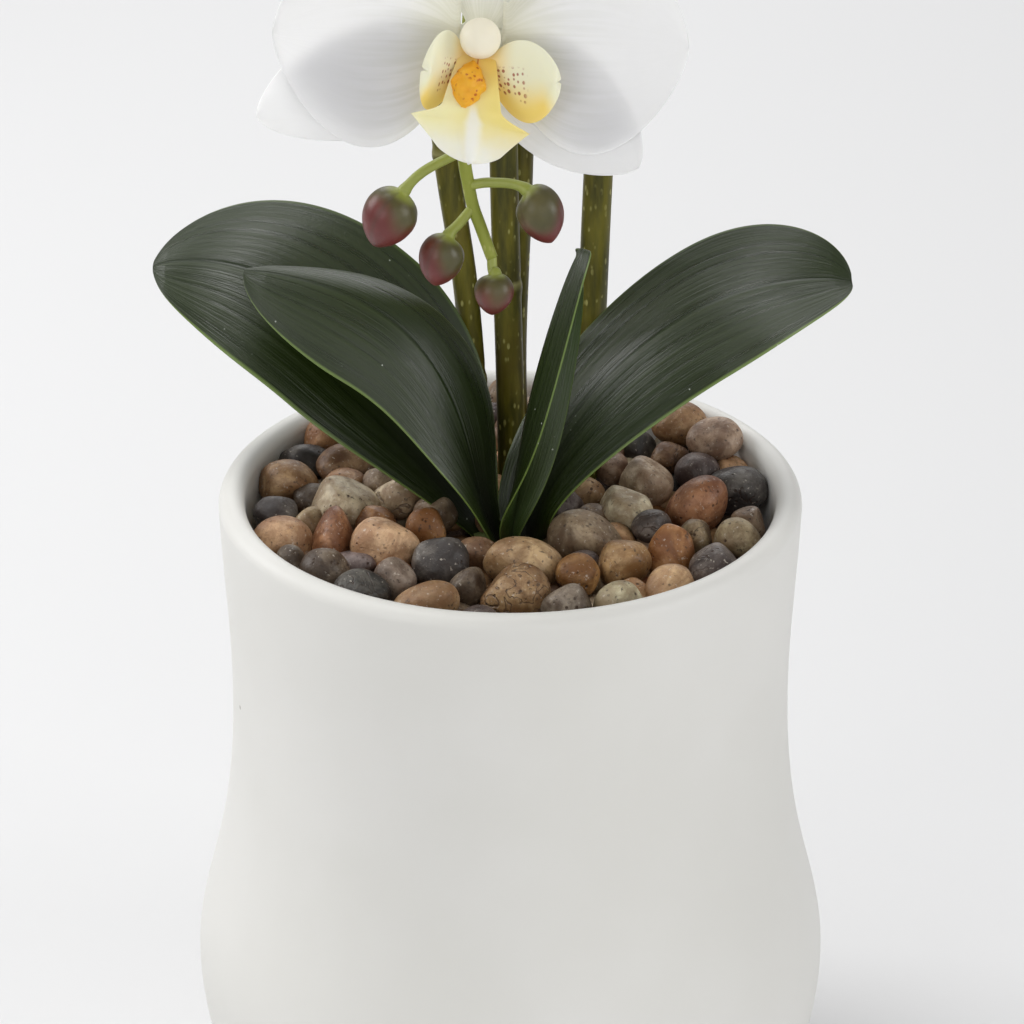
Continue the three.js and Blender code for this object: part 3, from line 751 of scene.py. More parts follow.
# %% Colour the rock
def river_rock():
    paint = Paint("river_rock", Specular_IOR_Level=0.45)
    own = paint.attribute("rock", "Color")
    number = paint.attribute("stone")
    shift = paint.node("ShaderNodeCombineXYZ", None,
                       {0: number * 7.0, 1: number * 13.0, 2: number * 5.0})
    place = paint.node("ShaderNodeVectorMath", {"operation": "ADD"},
                       {0: paint.coordinates(), 1: shift})
    cloud = paint.mask(paint.noise(place, 130.0, 4.0, 0.55, 0.6), 0.36, 0.66)
    tone = paint.mix(cloud, paint.mix(0.75, own, colour(120, 98, 74), "MULTIPLY"),
                     paint.mix(0.1, own, colour(235, 215, 180), "SCREEN"))
    mottle = paint.mask(paint.noise(place, 330.0, 5.0, 0.7, 0.4), 0.42, 0.6)
    tone = paint.mix(mottle * 0.45, tone, paint.mix(0.85, own, colour(146, 112, 84), "MULTIPLY"))
    patch = paint.mask(paint.noise(place, 75.0, 3.0, 0.5, 0.8), 0.52, 0.62)
    tone = paint.mix(patch * 0.5, tone, paint.mix(0.7, own, colour(136, 94, 52), "MULTIPLY"))
    streak = paint.noise(place, 95.0, 2.0, 0.5, 1.5)
    vein = 1 - paint.mask(paint.number("ABSOLUTE", streak - 0.5), 0.003, 0.014)
    veined = paint.mask(paint.number("FRACT", number * 17.0), 0.86, 0.88)
    tone = paint.mix(vein * veined * 0.6, tone, colour(66, 46, 34))
    grain = paint.noise(place, 900.0, 3.0, 0.6)
    dark_grain = paint.mask(grain, 0.6, 0.7)
    pale_grain = 1 - paint.mask(grain, 0.28, 0.38)
    tone = paint.mix(dark_grain * 0.7, tone, colour(48, 38, 32))
    tone = paint.mix(pale_grain * 0.5, tone, colour(214, 204, 190))
    hole = paint.spots(place, 420.0, (0.08, 0.2), 150.0, (0.47, 0.57))
    tone = paint.mix(hole * 0.8, tone, colour(62, 44, 32))
    paint.set(Base_Color=tone)
    paint.set(Roughness=0.26 + 0.32 * paint.noise(place, 210.0, 3.0) + 0.2 * hole + 0.12 * mottle)
    height = paint.noise(place, 140.0, 6.0, 0.62) + 0.25 * grain - 0.8 * hole - 0.6 * vein * veined
    paint.set(Normal=paint.bump(height, 0.0012, 0.65))
    return paint.material


rng = np.random.default_rng(29)
shown = laid_stones()
between = gap_stones(rng, 120, 2.5, 10.0, 7.6, shown["centre"])
below = gap_stones(rng, 130, 8.0, 11.0, 0.0, [])
rock = river_rock()
add_piece(stone_cloud("top_stones", rng, shown, 30, 44), rock, "river_pebbles", "pebble_layer")
add_piece(stone_cloud("gap_stones", rng, between, 20, 30), rock, "river_pebbles")
add_piece(stone_cloud("low_stones", rng, below, 12, 18), rock, "river_pebbles")
print("stones:", len(shown["turn"]), len(between["turn"]), len(below["turn"]))

# %% [markdown]
# ## Leaves
# A moth orchid's leaf is a thick strap, folded along its midrib at the base and opening out
# flat, with a round end. Its width is turned about the midrib so that the blade faces up and
# out. The half width, the base's share of it and the widest place set the outline. Three values
# each, at the base, middle and tip, set the turn and the fold, and curl bends the margins.

# %% The four leaves
LEAVES = {
    "leaf_left_rear": {
        "midrib": [(-5, 2, -3), (-20, 7, 27), (-45, 12, 74), (-86, 23, 60)],
        "roll": (54, 43, 36), "fold": (32, 11, -3), "half_width": 24.6,
        "base": 0.13, "widest": 0.53, "curl": 0.14,
    },
    "leaf_left_front": {
        "midrib": [(-2, -5, -3), (-15, -11, 18), (-1, -9, 65), (-62, -4, 70)],
        "roll": (51, 44, 33), "fold": (33, 6, -4), "half_width": 17.3,
        "base": 0.12, "widest": 0.75, "curl": 0.44, "trim": 0.5,
    },
    "leaf_centre": {
        "midrib": [(2, -5, -3), (-3, -12, 22), (14.5, -12, 79), (17, -9, 77)],
        "roll": (8, 17, 10), "fold": (-58, -49, 0), "half_width": 9.0,
        "base": 0.36, "widest": 0.43, "curl": -0.03,
    },
    "leaf_right": {
        "midrib": [(4, -5, -3), (0, 0, 15), (30, -4, 73), (80, 1, 65)],
        "roll": (-37, -29, -24), "fold": (39, -10, 15), "half_width": 20.9,
        "base": 0.18, "widest": 0.73, "curl": -0.05,
    },
}


def through(values, s):
    """A value through three given ones at the base, the middle and the tip."""
    first, middle, last = values
    return first * (1 - s) * (1 - 2 * s) + middle * 4 * s * (1 - s) + last * s * (2 * s - 1)


def strap_outline(s, base, widest):
    """Half width: a sine rise to the widest place, then a rounded fall to the tip."""
    up = base + (1 - base) * np.sin(np.pi / 2 * np.clip(s / widest, 0, 1)) ** 1.25
    down = (1 - np.clip((s - widest) / (1 - widest), 0, 0.9995) ** 2.3) ** (1 / 1.9)
    return np.where(s < widest, up, down)


def leaf_surface(leaf):
    """Midrib(s) + u * half width * width direction + (fold * |u| - curl * u * u * s) * normal,
    where the width direction and the normal are turned about the midrib by the roll. A trim
    narrows the half with u above 0 towards the tip."""
    p0, p1, p2, p3 = (np.array([x, y, z + crown_top / MM]) for x, y, z in leaf["midrib"])

    def surface(s, u):
        k = s[..., None]
        j = 1 - k
        midrib = j ** 3 * p0 + 3 * j ** 2 * k * p1 + 3 * j * k ** 2 * p2 + k ** 3 * p3
        along = 3 * j ** 2 * (p1 - p0) + 6 * j * k * (p2 - p1) + 3 * k ** 2 * (p3 - p2)
        along /= np.linalg.norm(along, axis=-1)[..., None]
        side = np.cross(along, [0.0, 0.0, 1.0])
        side /= np.linalg.norm(side, axis=-1)[..., None]
        above = np.cross(side, along)
        roll = np.radians(through(leaf["roll"], s))[..., None]
        fold = np.radians(through(leaf["fold"], s))
        width = np.cos(roll) * side + np.sin(roll) * above
        normal = np.cos(roll) * above - np.sin(roll) * side
        half = leaf["half_width"] * strap_outline(s, leaf["base"], leaf["widest"])
        lift = half * np.sin(fold) * np.abs(u) - leaf["curl"] * half * u * u * s
        reach = half * np.cos(fold) * u * (1 - leaf.get("trim", 0.0) * s ** 1.5 * (u > 0))
        return (midrib + width * reach[..., None] + normal * lift[..., None]) * MM

    return surface


def leaf_thickness(s, u):
    """Fleshy along the midrib, thin towards the margins and the tip."""
    return (0.8 + 1.0 * (1 - u * u) * (1 - 0.6 * s)) * MM


# %% [markdown]
# The leaf's green is dark and greyed, with fine veins side by side from base to tip that catch
# the light as streaks. The margin is a thin light-green rim, the underside is paler, and dust
# lies on top as a few pale specks. The veins follow the leaf, so they are drawn in its UV map:
# noise squeezed many times across and hardly at all along. Painted shade darkens the base fold.


# %% Paint the leaves
def leaf_skin():
    paint = Paint("leaf_skin", Specular_IOR_Level=0.55)
    uv = paint.coordinates("UV")
    across, along = paint.across_and_along()
    lines = paint.noise(paint.scaled(uv, 26.0, 0.8, 1.0), 1.0, 5.0, 0.62)
    fine = paint.noise(paint.scaled(uv, 120.0, 1.6, 1.0), 1.0, 2.0, 0.5)
    place = paint.coordinates()
    cloud = paint.noise(place, 28.0, 3.0)
    from_middle = paint.number("ABSOLUTE", across * 2.0 - 1.0)
    streaks = paint.mask(lines, 0.3, 0.7)
    green = paint.mix(streaks, colour(20, 31, 3), colour(37, 50, 8))
    green = paint.mix(paint.mask(cloud, 0.3, 0.7) * 0.4, green, colour(30, 43, 6))
    # Painted shade: the fold along the midrib near the base is darkened as if in shadow, and made
    # rougher.
    crease = (1 - paint.mask(along, 0.08, 0.5)) * (1 - paint.mask(from_middle, 0.25, 0.85))
    green = paint.mix(crease * 0.8, green, colour(8, 11, 2))
    above = paint.attribute("above")
    under = paint.mix(lines, colour(34, 50, 16), colour(56, 74, 30))
    tone = paint.mix(above, under, green)
    rib = 1 - paint.mask(from_middle, 0.0, 0.05)
    tone = paint.mix(rib * 0.25 * above, tone, colour(20, 30, 18))
    margin = paint.mask(from_middle, 0.95, 0.985)
    margin = margin * (1 - 0.65 * paint.mask(across, 0.4, 0.6))
    tone = paint.mix(margin * 0.85, tone, colour(108, 130, 62))
    dust = paint.spots(place, 260.0, (0.03, 0.07), 60.0, (0.5, 0.6))
    tone = paint.mix(dust * 0.8, tone, colour(190, 196, 186))
    paint.set(Base_Color=tone)
    grain = paint.noise(place, 1100.0, 2.0)
    paint.set(Roughness=0.2 + 0.18 * streaks + 0.08 * cloud + 0.3 * dust + 0.3 * crease)
    height = lines + 0.2 * fine - 0.5 * rib * above + 0.12 * grain
    paint.set(Normal=paint.bump(height, 0.0008, 0.4))
    return paint.material


leaf_paint = leaf_skin()
for name, leaf in LEAVES.items():
    front = -1 if leaf["midrib"][-1][0] > 0 else 1
    mesh = blade(name + "_blade", leaf_surface(leaf), leaf_thickness, 110, 36, front=front)
    add_piece(mesh, leaf_paint, "leaf_green", name)
print("leaves:", list(LEAVES))

# %% [markdown]
# ## Flower spikes
# A spike is a round stem that bends under its own flowers. Along it come nodes: a slightly
# swollen ring with the scar of a small sheath, every few centimetres. The rings are put into
# the radius itself, so that they show in outline.

# %% The four spikes
SPIKES = {
    "spike_left": {
        "points": [(-7, 16, -6), (-10.5, 21, 53), (-15.5, 21, 92), (-19, 20, 150), (-20, 13, 200),
                   (-17, -6, 236), (-12, -26, 238), (-9, -38, 212), (-8, -45, 158), (-10, -46, 115),
                   (-9, -46, 107), (-8, -46, 102), (-6.5, -47, 98), (-4, -48, 91)],
        "foot": 3.0, "tip": 1.3, "nodes": (38, 96, 168, 250, 330),
    },
    "spike_centre": {
        "points": [(0.5, 19.5, -6), (0, 19.5, 27), (-1.5, 20, 86), (-2, 21, 160), (1, 21, 230),
                   (8, 16, 286), (22, 2, 318), (42, -12, 319)],
        "foot": 3.4, "tip": 1.8, "nodes": (62, 128, 205, 290),
    },
    "spike_rear": {
        "points": [(3, 28, -6), (1, 28, 29), (2.5, 29, 84), (4, 32, 170), (-4, 37, 240),
                   (-24, 40, 280), (-52, 36, 292)],
        "foot": 3.0, "tip": 1.8, "nodes": (74, 150, 230, 300),
    },
    "spike_right": {
        "points": [(18, 22, -6), (19.5, 22, 40), (20.8, 23, 82), (24, 25, 160), (33, 28, 215),
                   (54, 27, 244), (72, 20, 244)],
        "foot": 3.5, "tip": 1.8, "nodes": (46, 104, 180, 262),
    },
}
ROOT_DEPTH = 24.0


def spike_line(spike):
    """The spike's curve, from its foot in the medium, and each chosen point's place on it."""
    points = [np.array([x, y, z + crown_top / MM]) for x, y, z in spike["points"]]
    points[0][2] = medium_top / MM
    points.insert(0, points[0] - [0, 0, ROOT_DEPTH])
    fine = 40
    line = smooth_through(points, fine * (len(points) - 1) + 1)
    return line, line[fine::fine]


def spike_radius(spike, length, total):
    """Even for the first stretch, then falling to the tip, with a swelling and a groove at
    each node."""
    full = ROOT_DEPTH + 120
    share = np.clip((length - full) / (total - full), 0, 1)
    radius = spike["foot"] + (spike["tip"] - spike["foot"]) * share
    above = length - ROOT_DEPTH
    for node in spike["nodes"]:
        near = above - node
        swelling = 0.32 * np.exp(-(near / 1.6) ** 2)
        groove = 0.12 * np.exp(-((near - 2.6) / 1.1) ** 2)
        radius = radius + swelling - groove
    return radius


def spike_mesh(name, spike):
    """A ring every 0.9 mm, with how young the stem is and where its node rings are."""
    line, _ = spike_line(spike)
    steps = int(np.linalg.norm(np.diff(line, axis=0), axis=1).sum() / 0.9)
    line, total = even_steps(line, steps)
    length = np.linspace(0, total, len(line))
    sides = 28
    rings = tube_rings(line, spike_radius(spike, length, total), sides) * MM
    uv = tube_uv(len(line), sides)
    uv[..., 1] = (length / 100)[:, None]
    nodes = sum(np.exp(-((length - ROOT_DEPTH - node - 1.2) / 0.5) ** 2) for node in spike["nodes"])
    ring_mark = np.broadcast_to(nodes[:, None], rings.shape[:2])
    young = np.broadcast_to((length / total)[:, None], rings.shape[:2])
    return ring_mesh(name, rings, uv, {"node_ring": ring_mark, "young": young})


# %% [markdown]
# The stems are olive, darker and browner low down and yellow-green where they are young. Pale
# specks and short fine scars cover them, and each node has a thin pale ring.


# %% Paint the stems
def stem_skin():
    paint = Paint("stem_skin", Specular_IOR_Level=0.3)
    place = paint.coordinates()
    young = paint.mask(paint.attribute("young"), 0.45, 0.95)
    tall = paint.noise(paint.scaled(place, 240.0, 240.0, 40.0), 1.0, 4.0, 0.6)
    cloud = paint.noise(place, 55.0, 3.0)
    old = paint.mix(paint.mask(tall, 0.3, 0.7), colour(50, 50, 6), colour(104, 98, 26))
    old = paint.mix(paint.mask(cloud, 0.45, 0.7) * 0.5, old, colour(80, 66, 16))
    tone = paint.mix(young, old, paint.mix(tall, colour(116, 126, 40), colour(156, 162, 74)))
    specks = paint.cells(paint.scaled(place, 1.0, 1.0, 0.45), 620.0)
    clusters = paint.mask(paint.noise(place, 160.0, 2.0), 0.42, 0.6)
    speck = (1 - paint.mask(specks, 0.14, 0.3)) * clusters
    tone = paint.mix(speck * 0.75, tone, colour(176, 172, 104))
    ring = paint.attribute("node_ring")
    tone = paint.mix(ring * 0.6, tone, colour(168, 164, 108))
    paint.set(Base_Color=tone)
    paint.set(Roughness=0.36 + 0.2 * tall)
    paint.set(Normal=paint.bump(tall + 0.4 * speck + 0.5 * ring, 0.0004, 0.4))
    return paint.material


stem_paint = stem_skin()
for name, spike in SPIKES.items():
    add_piece(spike_mesh(name + "_stem", spike), stem_paint, "spike_olive", name)
print("spikes:", list(SPIKES))

# %% [markdown]
# ## Crown
# The leaves and the spikes come from a short thick stem, which only shows between the leaf
# bases. It keeps its CAD shape and takes the leaf's paler green.


# %% Paint the crown
def crown_skin():
    paint = Paint("crown_skin")
    place = paint.coordinates()
    tone = paint.mix(paint.noise(place, 120.0, 4.0), colour(74, 92, 44), colour(124, 136, 78))
    paint.set(Base_Color=tone, Roughness=0.55)
    paint.set(Normal=paint.bump(paint.noise(place, 300.0, 4.0), 0.0006, 0.5))
    return paint.material


repaint("crown", crown_skin())

# %% [markdown]
# ## Buds
# A bud is an egg of folded sepals on a thin stalk. Three seams run from the stalk to the point,
# where the sepals meet. A bud's path is its stalk's bend, its neck and its point.

# %% The four buds
BUDS = {
    "bud_left": {"from": 9, "radius": 5.9,
                 "path": [(-19, -49, 111), (-23, -50, 107), (-29.5, -50, 94.5)]},
    "bud_right": {"from": 10, "radius": 5.1,
                  "path": [(-4.3, -47, 108), (3.5, -50, 107.5), (9, -50.5, 95.5)]},
    "bud_lower_left": {"from": 11, "radius": 4.9,
                       "path": [(-11, -48, 99), (-13.3, -50, 97), (-16.5, -50.5, 85.5)]},
    "bud_lowest": {"from": 13, "radius": 4.3,
                   "path": [(-3.8, -49, 88.5), (-3.4, -49.6, 88), (-4, -50.5, 78.5)]},
}
STALK_RADIUS = 1.1
PEDICEL_RADIUS = 1.4


def from_crown(point):
    """A point given from the top of the crown, in mm."""
    return np.array([point[0], point[1], point[2] + crown_top / MM])


def bud_mesh(name, bud):
    """Stalk and egg as one: rings along the curve whose radius is 2.28 * v ** 0.5 *
    (1 - v) ** 0.7 of the egg's, and is pinched at three seams."""
    _, places = spike_line(SPIKES["spike_left"])
    chosen = [places[bud["from"]]] + [from_crown(point) for point in bud["path"]]
    rows = 120
    line, _ = even_steps(smooth_through(chosen, 301), rows)
    neck = np.argmin(np.linalg.norm(line - chosen[2], axis=1)) / (rows - 1)
    t = np.linspace(0, 1, rows)
    v = np.clip((t - neck) / (1 - neck), 0, 1)
    egg = bud["radius"] * 2.28 * np.sqrt(v) * (1 - np.clip(v, 0, 0.9995)) ** 0.7
    stalk = STALK_RADIUS * (1 + 0.35 * np.exp(-((t - neck) / 0.05) ** 2))
    radius = np.where(v > 0, np.maximum(egg, stalk * (1 - v) + 0.12), stalk)
    sides = 36
    angle = round_turn(sides)
    seam = np.exp(-(np.sin(1.5 * angle) / 0.12) ** 2)
    pinch = 1 - (0.035 * seam)[None, :] * np.clip(4 * v * (1.2 - v), 0, 1)[:, None]
    rings = tube_rings(line, radius[:, None] * pinch, sides) * MM
    across = np.cos(3 * angle) * 0.5 + 0.5
    uv = np.stack(np.broadcast_arrays(across[None, :], v[:, None]), axis=-1)
    marks = np.broadcast_to(seam[None, :] * (v > 0.02)[:, None], rings.shape[:2])
    return ring_mesh(name, rings, uv, {"seam": marks})


def bud_skin():
    """Olive at the stalk, flushed with maroon towards the point and along the middle of each
    sepal, with a satin sheen."""
    paint = Paint("bud_skin", Specular_IOR_Level=0.5)
    across, along = paint.across_and_along()
    place = paint.coordinates()
    cloud = paint.noise(place, 150.0, 3.0)
    stalk = paint.mix(cloud, colour(122, 132, 50), colour(160, 166, 80))
    olive = paint.mix(cloud, colour(52, 52, 24), colour(98, 90, 50))
    patch = paint.noise(place, 75.0, 1.0)
    flush = paint.mask(0.75 * along + 1.3 * patch + 0.12 * across, 0.78, 1.2)
    maroon = paint.mix(cloud, colour(66, 22, 20), colour(118, 50, 46))
    egg = paint.mix(flush, olive, maroon)
    tone = paint.mix(paint.mask(along, 0.0, 0.12), stalk, egg)
    tone = paint.mix(paint.attribute("seam") * 0.35, tone, colour(66, 52, 36))
    paint.set(Base_Color=tone)
    paint.set(Roughness=0.3 + 0.18 * cloud)
    paint.set(Normal=paint.bump(paint.noise(place, 500.0, 3.0), 0.0003, 0.3))
    return paint.material


bud_paint = bud_skin()
for name, bud in BUDS.items():
    add_piece(bud_mesh(name + "_egg", bud), bud_paint, "bud_flushed", name)
print("buds:", list(BUDS))

# %% [markdown]
# ## Flowers
# Seven flowers of one kind. Each has its own frame: its face looks along +Z and its top is +Y.
# Three sepals stand behind, two broad petals in front of them, and in the middle the column,
# with the lip below it. Every flower's shapes are worked out in that frame and then placed.

# %% Places and frames of the flowers
FLOWERS = [
    {"spike": "spike_left", "from": 8, "at": (-6, -57, 144), "face": (-0.05, -0.97, 0.2), "turn": -9,
     "petal_turn": 8, "stretch": (1.07, 0.91)},
    {"spike": "spike_left", "from": 7, "at": (-36, -54, 216), "face": (-0.5, -0.82, 0.25), "turn": 6},
    {"spike": "spike_left", "from": 5, "at": (19, -24, 262), "face": (0.4, -0.87, 0.25), "turn": -5},
    {"spike": "spike_centre", "from": 5, "at": (-16, -10, 318), "face": (-0.35, -0.9, 0.2), "turn": 4},
    {"spike": "spike_centre", "from": 7, "at": (58, -30, 312), "face": (0.5, -0.84, 0.15), "turn": -6},
    {"spike": "spike_rear", "from": 6, "at": (-76, 24, 281), "face": (-0.55, -0.8, 0.2), "turn": 5},
    {"spike": "spike_right", "from": 6, "at": (90, 6, 230), "face": (0.6, -0.77, 0.15), "turn": -4},
]


def flower_axes(flower):
    """Rows: the flower's across, above and ahead directions, turned about ahead."""
    ahead = np.array(flower["face"], float)
    ahead /= np.linalg.norm(ahead)
    across = np.cross([0.0, 0.0, 1.0], ahead)
    across /= np.linalg.norm(across)
    above = np.cross(ahead, across)
    t = math.radians(flower["turn"])
    return np.array([math.cos(t) * across + math.sin(t) * above,
                     math.cos(t) * above - math.sin(t) * across, ahead])


def placed(flower, points):
    """Points of the flower's own frame, in mm, put where the flower is, in metres."""
    return (points @ flower_axes(flower) + from_crown(flower["at"])) * MM


# %% [markdown]
# Petals and sepals lie on one shallow bowl. A petal is nearly round with a narrow claw; a sepal
# is a longer oval. Both wave a little near the margin, in a phase that differs from flower to
# flower, so that no two look cast from one mould.

# %% Tepal shapes
TEPAL = {
    "petal_length": 39.0, "petal_half_width": 23.5, "sepal_length": 44.0,
    "sepal_half_width": 12.5, "lateral_turn": 119.0, "thickness": 1.0, "column": 3.6,
    "column_foot": 2.9, "column_length": 9.0, "clearance": 0.3,
}
SEPAL_LAYER = -TEPAL["thickness"] - TEPAL["clearance"] - 0.3


def tepal_outline(s):
    """A narrow claw that swells quickly to a broad, round end."""
    return np.maximum(0.34 * (1 - s) ** 3, np.sin(np.pi * np.clip(s, 0, 0.9995) ** 0.92) ** 0.62)


def tepal_surface(flower, angle, start, length, half_width, layer, wave, phase):
    """Reach along the angle, half width across it, and height = bowl + layer + margin waves
    - a crease along the middle."""
    along = np.array([math.cos(angle), math.sin(angle)])

    def surface(s, u):
        half = half_width * tepal_outline(s)
        reach = start + length * s
        x = along[0] * reach - along[1] * half * u
        y = along[1] * reach + along[0] * half * u
        ripple = wave * u * u * s * np.sin(7.0 * s + 2.2 * u + phase)
        crease = 0.5 * np.exp(-(u / 0.12) ** 2) * (1 - s)
        z = 0.0022 * (x * x + y * y) + layer + ripple - crease
        return placed(flower, np.stack([x, y, z], axis=-1))

    return surface


def tepal_thickness(s, u):
    """Thick at the claw, thin at the margin."""
    return (0.35 + 0.5 * (1 - s) * (1 - 0.5 * u * u)) * MM


# %% [markdown]
# Petal white is not flat: veins fan out from the claw as faintly greyer lines, and near the
# column the white warms to a yellow-green. The surface is matte, with a soft velvety sheen.


# %% Paint the petals
def petal_skin():
    paint = Paint("petal_white", Specular_IOR_Level=0.3, Sheen_Weight=0.08, Subsurface_Weight=0.5,
                  Subsurface_Radius=(0.008, 0.008, 0.007), Subsurface_Scale=1.0)
    uv = paint.coordinates("UV")
    _, along = paint.across_and_along()
    veins = paint.noise(paint.scaled(uv, 30.0, 1.2, 1.0), 1.0, 3.0, 0.55, 0.3)
    place = paint.coordinates()
    cloud = paint.noise(place, 45.0, 3.0)
    inner = 1 - paint.mask(along, 0.1, 0.75)
    lines = paint.mask(veins, 0.35, 0.65) * inner
    white = paint.mix(1 - 0.8 * lines, colour(228, 229, 224), colour(249, 249, 249))
    white = paint.mix(paint.mask(cloud, 0.4, 0.7) * 0.3, white, colour(242, 242, 238))
    heart = 1 - paint.mask(along, 0.0, 0.4)
    paint.set(Base_Color=paint.mix(heart * 0.6, white, colour(228, 224, 180)))
    paint.set(Roughness=0.5 + 0.15 * cloud)
    paint.set(Normal=paint.bump(veins, 0.0003, 0.22))
    return paint.material


petal_paint = petal_skin()


def add_petals(k, flower):
    """The two petals of one flower."""
    for side, word in ((-1, "left"), (1, "right")):
        lean = math.radians(flower.get("petal_turn", 2.5 * math.sin(3.1 * k)))
        angle = lean if side > 0 else math.pi + lean
        start = TEPAL["column"] + TEPAL["clearance"] + 0.5
        surface = tepal_surface(flower, angle, start, TEPAL["petal_length"],
                                TEPAL["petal_half_width"], 0.0, 0.9, 1.7 * k + side)
        name = f"flower_{k}_petal_{word}"
        mesh = blade(name + "_white", surface, tepal_thickness, rows=56, half=26, tip_power=1.3)
        add_piece(mesh, petal_paint, "petal_white", name)


def add_sepals(k, flower):
    """The three sepals of one flower, which spring from one point behind the petals."""
    turn = TEPAL["lateral_turn"]
    uneven = 0.04 * math.sin(2.3 * k)
    left, right = flower.get("stretch", (1 + uneven, 1 - uneven))
    sepals = (("upper", 90, 1.0), ("left", 90 + turn, left), ("right", 90 - turn, right))
    for word, degrees, stretch in sepals:
        length = (TEPAL["sepal_length"] + 1) * stretch
        surface = tepal_surface(flower, math.radians(degrees), 1.6, length,
                                TEPAL["sepal_half_width"], SEPAL_LAYER, 0.7, 2.3 * k + degrees)
        name = f"flower_{k}_sepal_{word}"
        mesh = blade(name, surface, tepal_thickness, rows=50, half=20, tip_power=1.3)
        nodes = [f"flower_{k}_sepals"] if word == "upper" else []
        add_piece(mesh, petal_paint, "petal_white", *nodes)


# %% [markdown]
# The column is a short thick rod with a rounded cap. The lip hangs below it in three lobes: two
# side lobes stand like cupped hands on either side, and the middle one runs forward and down,
# with a horn on each side and a blunt end. Where the lobes meet sits the callus, a small warty
# cushion, orange and spotted.


# %% Column and lip
def add_column(k, flower):
    """Rings along a short leaning line, with a waist low down and a dome at the end."""
    t = np.linspace(0, 1, 40)
    foot_z = SEPAL_LAYER + TEPAL["thickness"] / 2 + TEPAL["clearance"]
    line = np.stack([0 * t, 1.4 * t ** 2, foot_z + (TEPAL["column_length"] - foot_z) * t], axis=1)
    swell = np.clip((t - 0.1) / 0.45, 0, 1)
    cap = TEPAL["column"] + 0.7
    radius = TEPAL["column_foot"] + (cap - TEPAL["column_foot"]) * swell ** 2 * (3 - 2 * swell)
    radius = radius * np.sqrt(1 - np.clip((t - 0.56) / 0.445, 0, 0.999) ** 2.2)
    rings = placed(flower, tube_rings(line, radius, 28))
    mesh = ring_mesh(f"flower_{k}_column_cap", rings, tube_uv(40, 28))
    add_piece(mesh, column_paint, "column_cream", f"flower_{k}_column")


def lip_blade(name, flower, points, across, half_width, outline, cup, thickness, rows=60, half=24):
    """A sheet about a quadratic curve: curve(s) + across * width * u + cup(s, u) * normal."""
    a, b, c = (np.array(p, float) for p in points)
    across = np.array(across, float) / np.linalg.norm(across)

    def surface(s, u):
        w = s[..., None]
        centre = (1 - w) ** 2 * a + 2 * (1 - w) * w * b + w ** 2 * c
        along = 2 * (1 - w) * (b - a) + 2 * w * (c - b)
        normal = np.cross(across, along)
        normal /= np.linalg.norm(normal, axis=-1)[..., None]
        reach = half_width * outline(s)
        point = centre + across * (reach * u)[..., None] + normal * (cup(s, u))[..., None]
        return placed(flower, point)

    return blade(name, surface, lambda s, u: thickness * MM * (1 - 0.4 * u * u), rows, half, 1.15)


def horned(s):
    """The middle lobe's half width: a claw, a quick rise to two horns half way down, and then
    a nearly straight fall to a blunt end."""
    claw = 0.30 + 0.18 * np.clip(s / 0.5, 0, 1)
    rise = np.clip((s - 0.5) / 0.16, 0, 1)
    fall = np.clip((s - 0.66) / 0.34, 0, 1)
    body = 1 - 0.62 * fall ** 0.9
    end = np.sqrt(1 - np.clip((s - 0.9) / 0.1005, 0, 0.999) ** 2)
    return (claw + (body - claw) * rise ** 2.2) * end


def fanned(s):
    """A side lobe's half width: a claw that opens into a broad round fan."""
    return np.maximum(0.42 * (1 - s), np.sin(np.pi * np.clip(s, 0, 0.9995) ** 1.25) ** 0.55)


def middle_cup(s, u):
    """Horns that turn up and forward, and a raised fold down the middle of the lower half."""
    fold = 1.3 * np.exp(-((u - 0.05) / 0.16) ** 2) * np.clip((s - 0.6) / 0.15, 0, 1)
    return -2.6 * u ** 2 * np.exp(-((s - 0.66) / 0.16) ** 2) - fold - 0.8 * u * u * (1 - s)


def add_lip(k, flower):
    """Middle lobe, two side lobes and the callus."""
    top = -(TEPAL["column_foot"] + TEPAL["clearance"] + TEPAL["thickness"] / 2 + 0.1)
    curve = [(0, top, 2.4), (0.4, top - 8, 9.5), (2.0, top - 21.5, 7.5)]
    middle = lip_blade(f"flower_{k}_lip_middle", flower, curve, (1, 0, 0), 12.6, horned,
                       middle_cup, 0.9)
    add_piece(middle, lip_paint, "lip_yellow", f"flower_{k}_lip")
    lobes = (
        ("left", 1, [(-2.0, top - 2.2, 2.6), (-6.9, top - 4.5, 4.2), (-9.0, top - 3.4, 11.5)],
         (0.06, 0.99, 0.05), 8.6),
        ("right", -1, [(2.0, top - 2.2, 2.6), (9.0, top - 4.8, 3.4), (17.2, top - 1.6, 9.0)],
         (-0.2, 0.97, 0.1), 8.8),
    )
    for word, sign, points, across, half_width in lobes:
        lobe = lip_blade(f"flower_{k}_lip_{word}", flower, points, across, half_width, fanned,
                         lambda s, u, sign=sign: sign * -1.8 * u * u * s, 0.7)
        add_piece(lobe, lobe_paint, "lip_yellow")
    t = np.linspace(0, 1, 40)
    line = np.stack([-0.6 - 0.4 * t, top - 0.6 - 9.5 * t, 4.6 + 3.4 * t], axis=1)
    angle = round_turn(36)
    warts = 1 + 0.12 * np.sin(5 * angle)[None, :] * np.sin(16 * t)[:, None]
    warts = warts + 0.07 * np.sin(9 * angle + 1)[None, :] * np.sin(31 * t)[:, None]
    radius = (3.5 * np.sin(np.pi * np.clip(t, 0.02, 0.98) ** 1.1) ** 0.7)[:, None] * warts
    rings = placed(flower, tube_rings(line, radius, 36))
    add_piece(ring_mesh(f"flower_{k}_callus", rings), callus_paint, "lip_yellow")


# %% [markdown]
# The lip is pale yellow, stronger at its margins, and white down the fold of the middle lobe.
# The callus is orange, and rows of red-brown dots run out from it over the side lobes.


